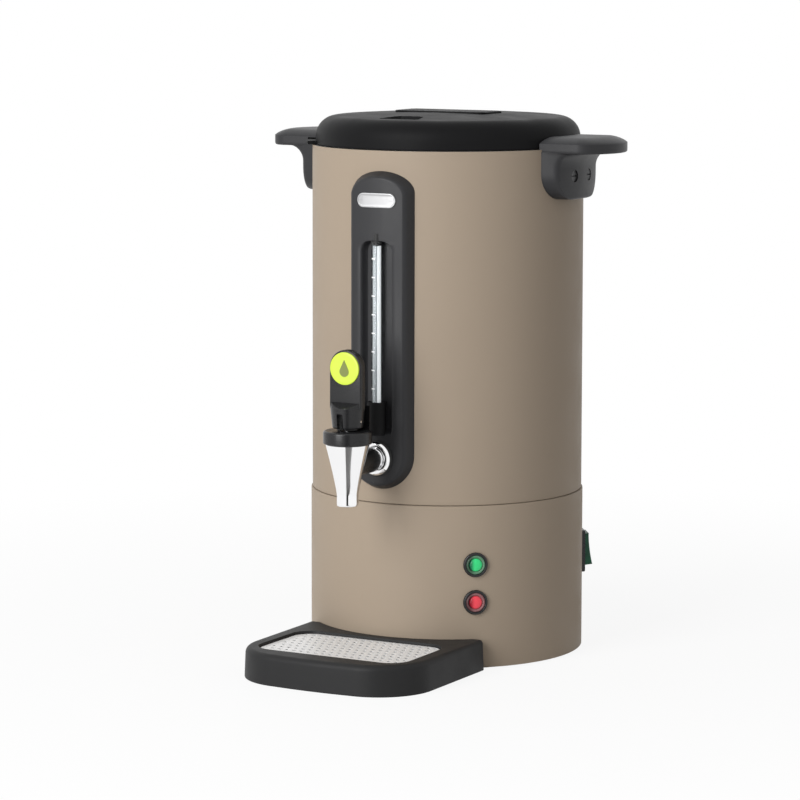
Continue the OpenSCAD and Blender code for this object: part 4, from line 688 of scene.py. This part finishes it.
# Bonnet ring, stem, seat cup and spring: the black ring screws into the body, guides the steel stem
# and holds the upper end of the spring over the silicone cup. A tab stands on it behind the lever.
ring_top, ring_r, ceiling_z = 186.4, 18.3, 182.52
bonnet_line = rounded(
    [[2.3, ceiling_z], [9.8, ceiling_z], [9.8, 169.4], [12.9, 169.4], [12.9, ring_z + 0.02], [ring_r, ring_z + 0.02],
     [ring_r, ring_top], [2.3, ring_top]], [0.1, 0.3, 0.2, 0.6, 0.1, 0.7, 1.9, 0.3], steps=8)
tab_turn = np.linspace(0.656, -0.656, 17)
tab_outline = np.concatenate([[[-10.9, 13.55], [10.9, 13.55]],
                              17.85 * np.stack([np.sin(tab_turn), np.cos(tab_turn)], -1)])
tab = slab(tab_outline, [(ring_top - 2, 0), (203.2, 0), (203.75, 0.2), (203.95, 0.6)])
piece("bonnet_ring", [moved(spun(bonnet_line, 128), at=(0, -tap_d, 0)), moved(tab, at=(0, -tap_d, 0))],
      gloss_black, stands_for=("tap_bonnet",))
spring_steel = surface("spring_wire", (0.55, 0.55, 0.56), 0.25, metal=1.0, grain=1500, depth=0.000004)
cup_silicone = surface("seat_silicone", (0.55, 0.55, 0.53), 0.5, grain=1500, depth=0.00001)
dress(tank_steel, "tap_stem", "lid_liner", "riser_tube", "coffee_basket", "basket_lid")
dress(spring_steel, "tap_spring")
dress(cup_silicone, "seat_cup")

# Lever: a black moulding with a round hub on a foot, a sloping shoulder, and a flat paddle with a
# round head. The front of the hub is slotted for the stem, and a chromed pin goes through both.
foot_z, hub_z, hub_top, paddle_top, paddle_half = 186.7, 188.5, 203.7, 246.7, 13.3
pin_z, front_y, paddle_deep = 193.6, -4.0, 7.4
head_z = paddle_top - paddle_half


def hub():
    """Level circles from the foot up the flaring hub; above the hub's edge each circle is cut by
    the sloping plane y = front + rise, so the shoulder runs up into the paddle."""
    levels = [(foot_z, 7.6), (foot_z + 0.4, 8.0), (hub_z - 0.2, 8.0), (hub_z, 10.9), (hub_z + 0.5, 11.4)]
    levels += [(z, 11.4 + 1.5 * (z - hub_z) / (hub_top - hub_z)) for z in np.linspace(hub_z + 1, hub_top - 0.3, 12)]
    levels += [(hub_top, 12.65)]
    t = np.linspace(0, 2 * np.pi, 96, endpoint=False)
    rows = [np.stack([r * np.cos(t), r * np.sin(t), 0 * t + z], -1) for z, r in levels]
    for rise in np.linspace(0.4, 4.2, 8):
        r = 12.75 - 0.12 * rise
        low = -12.65 + 8.95 * rise / 4.0
        high = 12.65 - 7.7 * rise / 4.2
        rows.append(np.stack([r * np.cos(t), np.clip(r * np.sin(t), low, high), 0 * t + hub_top + rise], -1))
    return skin(np.array(rows))


def paddle():
    """The outline of the paddle, with a round head, carried from its front face to its back face
    with a small radius on both edges."""
    t = np.linspace(0, np.pi, 49)
    head = np.stack([paddle_half * np.cos(t), head_z + paddle_half * np.sin(t)], -1)
    line = np.concatenate([[[-paddle_half, hub_top - 1.0], [paddle_half, hub_top - 1.0]], head])
    bow = np.linspace(0, np.pi / 2, 6)
    levels = [(1.1 * (1 - np.cos(b)), 1.1 * (1 - np.sin(b))) for b in bow]
    levels += [(paddle_deep - z, inset) for z, inset in levels[::-1]]
    part = slab(line, levels)
    return np.stack([part[0][:, 0], part[0][:, 2] + front_y, part[0][:, 1]], -1), part[1]


slot_line = rounded([[-2.5, -15], [2.5, -15], [2.5, 4.6], [-2.5, 4.6]], [0, 0, 1.2, 1.2])
slot = slab(slot_line, [(foot_z - 3, 0), (199.0, 0), (199.6, 0.25), (199.9, 0.9)])
pin_hole = moved(lying(drill(1.3, -16, 16)), at=(0, 0, pin_z))
lever = carved(mesh_of("lever", [hub()]), [[slot], [pin_hole]])
lever.transform(Matrix.Translation((0, -tap_d * 0.001, 0)))
piece("lever_hub", lever, gloss_black, "lever", ("tap_lever",), sharp=36)
piece("lever_paddle", [moved(paddle(), at=(0, -tap_d, 0))], gloss_black, "lever", sharp=40)
pin_line = rounded([[0, -11.6], [1.22, -11.6], [1.22, 11.6], [0, 11.6]], [0, 0.3, 0.3, 0])
piece("lever_pin_rod", [moved(lying(spun(pin_line, 32)), at=(0, -tap_d, pin_z))], chrome, "lever", ("lever_pin",))

# Lever disc: a lime moulding pressed into the paddle's head, where the thumb pulls. It bears a plain
# drop printed in olive.
disc_z, disc_r = 233.0, 12.2
lime = surface("lime_moulding", (0.56, 0.72, 0.045), 0.4, grain=1500, depth=0.000005, drift=0.04)
olive = surface("olive_print", (0.17, 0.2, 0.035), 0.45, grain=1500, depth=0.000005, drift=0.06)
disc_line = rounded([[0, 160], [disc_r, 160], [disc_r, 161.1], [disc_r - 1.6, 161.35], [0, 161.2]],
                    [0, 0, 0.5, 0.8, 0])
piece("lime_disc", [facing(spun(disc_line, 96), 0, disc_z)], lime, "lever", ("lever_disc",))
a = np.linspace(-0.18 * np.pi, 1.18 * np.pi, 40) + np.pi
drop = np.concatenate([np.stack([3.9 * np.cos(a), 3.9 * np.sin(a) - 2.2], -1), [[0.12, 6.4], [-0.12, 6.4]]])
drop = slab(drop[::-1], [(161.15, 0), (161.45, 0), (161.55, 0.15)])
piece("drop_mark", [facing(drop, 0, disc_z)], olive, "lever")

# Drip tray: a black moulding with a bowed front and leaning walls; its back follows the base, and
# two pegs locate it. The steel grid lies in a recess of the wide rim.
tray_h, tray_front, tray_half, tray_corner, tray_back, rear_corner = 23.0, 211.5, 76.5, 44.0, 106.6, 4.2


def tray_section(z):
    """Seen from above at a height: a front edge bowed by 1.5 mm, wide front corners, straight sides,
    tight rear corners, and a rear arc concentric with the base. All but that arc lean in by 0.04 z and
    round over by e - sqrt(e^2 - (z - h + e)^2), where the edge radius e shrinks towards the rear."""

    def inset(e):
        over = e - np.sqrt(np.maximum(e ** 2 - np.maximum(z - tray_h + e, 0) ** 2, 0))
        return 0.04 * z + over + 0.5 * max(0.5 - z, 0)

    x = np.linspace(-tray_half + tray_corner, tray_half - tray_corner, 33)
    front = np.stack([x, inset(4.5) - tray_front + 1.5 * (x / (tray_half - tray_corner)) ** 2], -1)
    t = np.linspace(-np.pi / 2, 0, 24)[1:]
    centre = np.array([tray_half - tray_corner, 1.5 - tray_front + tray_corner])
    right_corner = centre + (tray_corner - inset(4.5)) * np.stack([np.cos(t), np.sin(t)], -1)
    rear_x = tray_half - rear_corner
    rear_y = -np.sqrt((tray_back + rear_corner) ** 2 - rear_x ** 2)
    side = np.stack([tray_half - inset(np.linspace(4.5, 2.5, 14)[1:-1]),
                     np.linspace(centre[1], rear_y, 14)[1:-1]], -1)
    t = np.linspace(0, np.pi / 2, 9)
    tail = np.array([rear_x, rear_y]) + (rear_corner - inset(2.5)) * np.stack([np.cos(t), np.sin(t)], -1)
    a = np.arccos(-tail[-1, 1] / tray_back)
    t = np.linspace(a, -a, 61)
    rear = np.stack([tray_back * np.sin(t), -tray_back * np.cos(t)], -1)
    half = np.concatenate([front[17:], right_corner, side, tail])
    left = half[::-1] * [-1, 1]
    outline = np.concatenate([left, front[16:17], half, rear])
    return np.column_stack([outline, np.full(len(outline), z)])


levels = np.concatenate([[0, 0.5], np.linspace(1, tray_h - 4.7, 6),
                         tray_h - 4.5 + 4.5 * np.sin(np.linspace(0.08, np.pi / 2, 14))])
tray = mesh_of("tray", [skin(np.array([tray_section(z) for z in levels]))])
grid_half, grid_mid, grid_half_d, grid_corner = 63.0, -152.5, 38.0, 16.0


def at_grid(part):
    """The part set at the grid's middle."""
    return moved(part, at=(0, grid_mid, 0))


def grid_slab(wider, sharper, levels):
    """A slab in the grid's outline, wider and with tighter corners by the given amounts."""
    return at_grid(slab(box_outline(grid_half + wider, grid_half_d + wider, grid_corner - sharper, 16), levels))


recess = grid_slab(0.35, 0, [(19.8, 0), (22.4, 0), (22.8, -0.25), (23.6, -0.9)])
basin = grid_slab(-3, 3, [(2.5, 1.5), (3.0, 0.4), (4.2, 0), (20.5, 0)])
tray = carved(tray, [[recess], [basin]])
tray_black = surface("tray_moulding_black", (0.02, 0.02, 0.0205), 0.5, grain=2300, depth=0.000014,
                     drift=0.08, shine=0.16)
piece("tray_moulding", tray, tray_black, "tray", ("drip_tray",), sharp=35)
peg = spun(rounded([[0, 100.2], [3, 100.2], [3, 111], [0, 111]], [0, 0.8, 0, 0]), 40)
pegs = [moved(facing(peg, 0, 12), at=(x, 0, 0)) for x in (-38, 38)]
piece("tray_pegs", pegs, tray_black, "tray")

# Grid: bright pressed steel sheet with staggered rows of small holes. Its edge is rolled down, so it
# is hollow underneath and lies on the ledge of the tray's recess.
grid_steel = surface("bright_grid_steel", (0.97, 0.97, 0.97), 0.4, metal=0.1, grain=1600, depth=0.000004,
                     drift=0.04, stretch=(1, 0.08, 1))
pitch_x, pitch_y, hole_r = 6.2, 8.0, 1.6
sheet = grid_slab(0, 0, [(19.85, 0.3), (20.1, 0), (20.5, 0), (20.85, 0.35), (20.98, 0.9)])
hollow = grid_slab(-2.2, 2.2, [(18, 0), (20.55, 0)])
reach_x, reach_y = grid_half - 4.2, grid_half_d - 4.2
holes = []
for row in range(-4, 5):
    for column in range(-10, 11):
        x, y = (column + (row % 2) * 0.5) * pitch_x, row * pitch_y
        if abs(x) < reach_x and abs(y) < reach_y and abs(x) + abs(y) < grid_half + grid_half_d - 13:
            holes.append(at_grid(moved(drill(hole_r, 18, 23, 14), at=(x, y, 0))))
grid_mesh = carved(mesh_of("grid", [sheet]), [[hollow], holes])
piece("grid_sheet", grid_mesh, grid_steel, "grid", ("drip_grid",), sharp=40)

# Lid: a black moulding with a soft shoulder and a low dome, two lugs under its edge, and two finger
# pockets on the line from front to back. A raised oblong grip is screwed on from inside.
lid_low, lid_top, lid_r = 391.8, 416.5, 102.4
pocket_y, pocket_half, pocket_len, pocket_deep = 70.0, 16.0, 11.0, 5.6
lid_black = surface("satin_black_moulding", (0.009, 0.009, 0.0095), 0.46, grain=2100, depth=0.000006,
                    drift=0.08, shine=0.06)


def lid_crown(r):
    """Height of the top at radius r: a low dome that bends down in a round shoulder."""
    shoulder = 16.0
    inner = lid_r - shoulder
    dome = lid_top - 3.0 * (r / inner) ** 2
    edge = lid_top - 3.0 - shoulder + np.sqrt(np.maximum(shoulder ** 2 - np.maximum(r - inner, 0) ** 2, 0))
    return np.where(r < inner, dome, edge)


def pocket_dip(x, y):
    """Depth of the finger pockets: zero outside, a soft lip, sloping ends and a flat floor."""
    out = 0.0
    for s in (-1, 1):
        v = (y - s * pocket_y) * s
        taper = pocket_half + 1.6 + 0.3 * (v - pocket_len)
        qx, qy = np.abs(x) - (taper - 4), np.abs(v) - (pocket_len - 4)
        gone = np.hypot(np.maximum(qx, 0), np.maximum(qy, 0)) + np.minimum(np.maximum(qx, qy), 0) - 4
        u = np.clip(-gone / 1.3, 0, 1)
        out = out + pocket_deep * u * u * (3 - 2 * u)
    return out


def lid():
    """Rings of points from the axis out over the dome and shoulder, down the skirt, and back inside
    at the wall's thickness."""
    t = np.arange(640) * 2 * np.pi / 640
    r = np.concatenate([[0.01], np.arange(4, 56, 4.0), np.arange(56, 83, 0.5), np.arange(83, 86, 1.0),
                        lid_r - 16 + 16 * np.sin(np.linspace(0, np.pi / 2, 18))])
    outer = [(q, float(lid_crown(np.array(q)))) for q in r]
    outer += [(lid_r, 394.0), (lid_r - 0.15, 392.1), (lid_r - 0.6, lid_low)]
    inner = [(lid_r - 1.9, lid_low), (lid_r - 2.2, 392.1), (lid_r - 2.2, 396.6)]
    inner += [(q - 2.0 if q > 20 else q, float(lid_crown(np.array(q))) - 2.2) for q in r[::-1] if q < 100]
    rows = []
    for k, (radius, z) in enumerate(outer + inner):
        x, y = radius * np.cos(t), radius * np.sin(t)
        dip = pocket_dip(x, y)
        if k >= len(outer):
            dip = np.where(dip > 0.05, dip, 0)
        rows.append(np.stack([x, y, z - dip * (radius < 84)], -1))
    return skin(np.array(rows), closed=True)


lug = slab(sector(109.4, 101.0, np.radians(np.linspace(-7, 7, 13))),
           [(lid_low, 0.3), (lid_low + 0.3, 0), (lid_low + 2.2, 0), (lid_low + 2.55, 0.35)])
piece("lid_moulding", [lid()] + [moved(lug, turn=turn) for turn in (30, 210)], lid_black, "lid",
      ("lid_shell",), sharp=30)
grip_levels = [(415.4, 0.3), (416.4, 0), (416.95, 0.2), (417.25, 0.7), (417.36, 1.5), (417.4, 3.2), (417.38, 5.6)]
piece("lid_grip_cap", [slab(box_outline(40, 17, 6, 14), grip_levels)], lid_black, "lid", ("lid_grip",))

# Floor and light: a white sweep under an even, soft light from the left and above, with one dark
# upright card before the tap that only the polished parts mirror.


def flat(name, corners):
    """A flat sheet with the given corners, in metres."""
    mesh = bpy.data.meshes.new(name)
    mesh.from_pydata(corners, [], [tuple(range(len(corners)))])
    o = bpy.data.objects.new(name, mesh)
    bpy.context.scene.collection.objects.link(o)
    return o


def seen_rays(add, link):
    """One for camera, glossy and transmission rays, and nought for the rest: their largest flag."""
    path = add("ShaderNodeLightPath")
    seen, also = add("ShaderNodeMath", operation="MAXIMUM"), add("ShaderNodeMath", operation="MAXIMUM")
    link(path.outputs["Is Camera Ray"], seen.inputs[0])
    link(path.outputs["Is Glossy Ray"], seen.inputs[1])
    link(seen.outputs["Value"], also.inputs[0])
    link(path.outputs["Is Transmission Ray"], also.inputs[1])
    return also.outputs["Value"]


floor = flat("floor", [(-9, -9, 0), (9, -9, 0), (9, 9, 0), (-9, 9, 0)])
white, white_shader, add, link = tree("white_floor", Base_Color=(0.92, 0.92, 0.92, 1), Roughness=0.6,
                                      Specular_IOR_Level=0.2)
glow = add("ShaderNodeEmission", Strength=1.0)
place = add("ShaderNodeTexCoord")
away = add("ShaderNodeVectorMath", operation="LENGTH")
link(place.outputs["Object"], away.inputs[0])
fade = ramp(add, 0.2, 0.8, first=0.89)
link(away.outputs["Value"], fade.inputs["Value"])
share = add("ShaderNodeMath", operation="MULTIPLY")
link(fade.outputs["Result"], share.inputs[0])
link(seen_rays(add, link), share.inputs[1])
blend = add("ShaderNodeMixShader")
link(share.outputs["Value"], blend.inputs["Fac"])
link(white_shader.outputs["BSDF"], blend.inputs[1])
link(glow.outputs["Emission"], blend.inputs[2])
out = [n for n in white.node_tree.nodes if n.type == "OUTPUT_MATERIAL"][0]
link(blend.outputs["Shader"], out.inputs["Surface"])
floor.data.materials.append(white)

world = bpy.data.worlds.new("white_room")
bpy.context.scene.world = world
world.use_nodes = True
sky = world.node_tree
backdrop = sky.nodes["Background"]
backdrop.inputs["Color"].default_value = (1, 1, 1, 1)
backdrop.inputs["Strength"].default_value = 0.36
add, link = tools(sky)
bright = add("ShaderNodeBackground", Color=(1, 1, 1, 1), Strength=1.0)
pick = add("ShaderNodeMixShader")
link(seen_rays(add, link), pick.inputs["Fac"])
link(backdrop.outputs["Background"], pick.inputs[1])
link(bright.outputs["Background"], pick.inputs[2])
link(pick.outputs["Shader"], sky.nodes["World Output"].inputs["Surface"])


def lamp(name, at, target, size, watts):
    """A square soft light at a place, turned to a target."""
    data = bpy.data.lights.new(name, "AREA")
    data.shape, data.size, data.energy = "SQUARE", size, watts
    o = bpy.data.objects.new(name, data)
    o.location = at
    o.rotation_euler = (Vector(target) - Vector(at)).to_track_quat("-Z", "Y").to_euler()
    bpy.context.scene.collection.objects.link(o)


lamp("key", (-0.62, -2.6, 1.75), (0, 0, 0.2), 1.5, 54)
lamp("low_fill", (-0.3, -1.6, 0.25), (0, 0, 0.05), 0.7, 9)
card = flat("card", [(-0.04, 0, 0), (0.13, 0, 0), (0.05, 0, 0.05), (0.036, 0, 0.07), (0.036, 0, 0.5),
                     (-0.04, 0, 0.5)])
dark, dark_shader, add, link = tree("dark_card")
place = add("ShaderNodeTexCoord")
height = add("ShaderNodeSeparateXYZ")
link(place.outputs["Object"], height.inputs["Vector"])
fade = ramp(add, -0.02, 0.06, 0.5, 0.015)
link(height.outputs["Z"], fade.inputs["Value"])
link(fade.outputs["Result"], dark_shader.inputs["Base Color"])
card.data.materials.append(dark)
card_angle, card_off = np.radians(27.0), 0.22
card.location = (card_off * np.sin(card_angle), -0.156 - card_off * np.cos(card_angle), 0)
card.rotation_euler = (0, 0, card_angle)
card.visible_camera = card.visible_diffuse = card.visible_shadow = False

# Camera: a long lens a little above the lid's height, 28.2 degrees round to the right of the tap.
around, pitch, roll, yaw = np.radians([28.2, 6.19, 0.1, 0.81]).tolist()
reach, height = 2.618, 0.537
camera_data = bpy.data.cameras.new("camera")
camera_data.lens, camera_data.sensor_width, camera_data.shift_y = 152.1, 36.0, -0.0985
camera = bpy.data.objects.new("camera", camera_data)
camera.location = (reach * np.sin(around), -reach * np.cos(around), height)
camera.rotation_euler = (Matrix.Rotation(around + yaw, 3, "Z") @ Matrix.Rotation(np.pi / 2 - pitch, 3, "X")
                         @ Matrix.Rotation(roll, 3, "Z")).to_euler()
bpy.context.scene.collection.objects.link(camera)
bpy.context.scene.camera = camera
bpy.context.scene.view_settings.view_transform = "Standard"
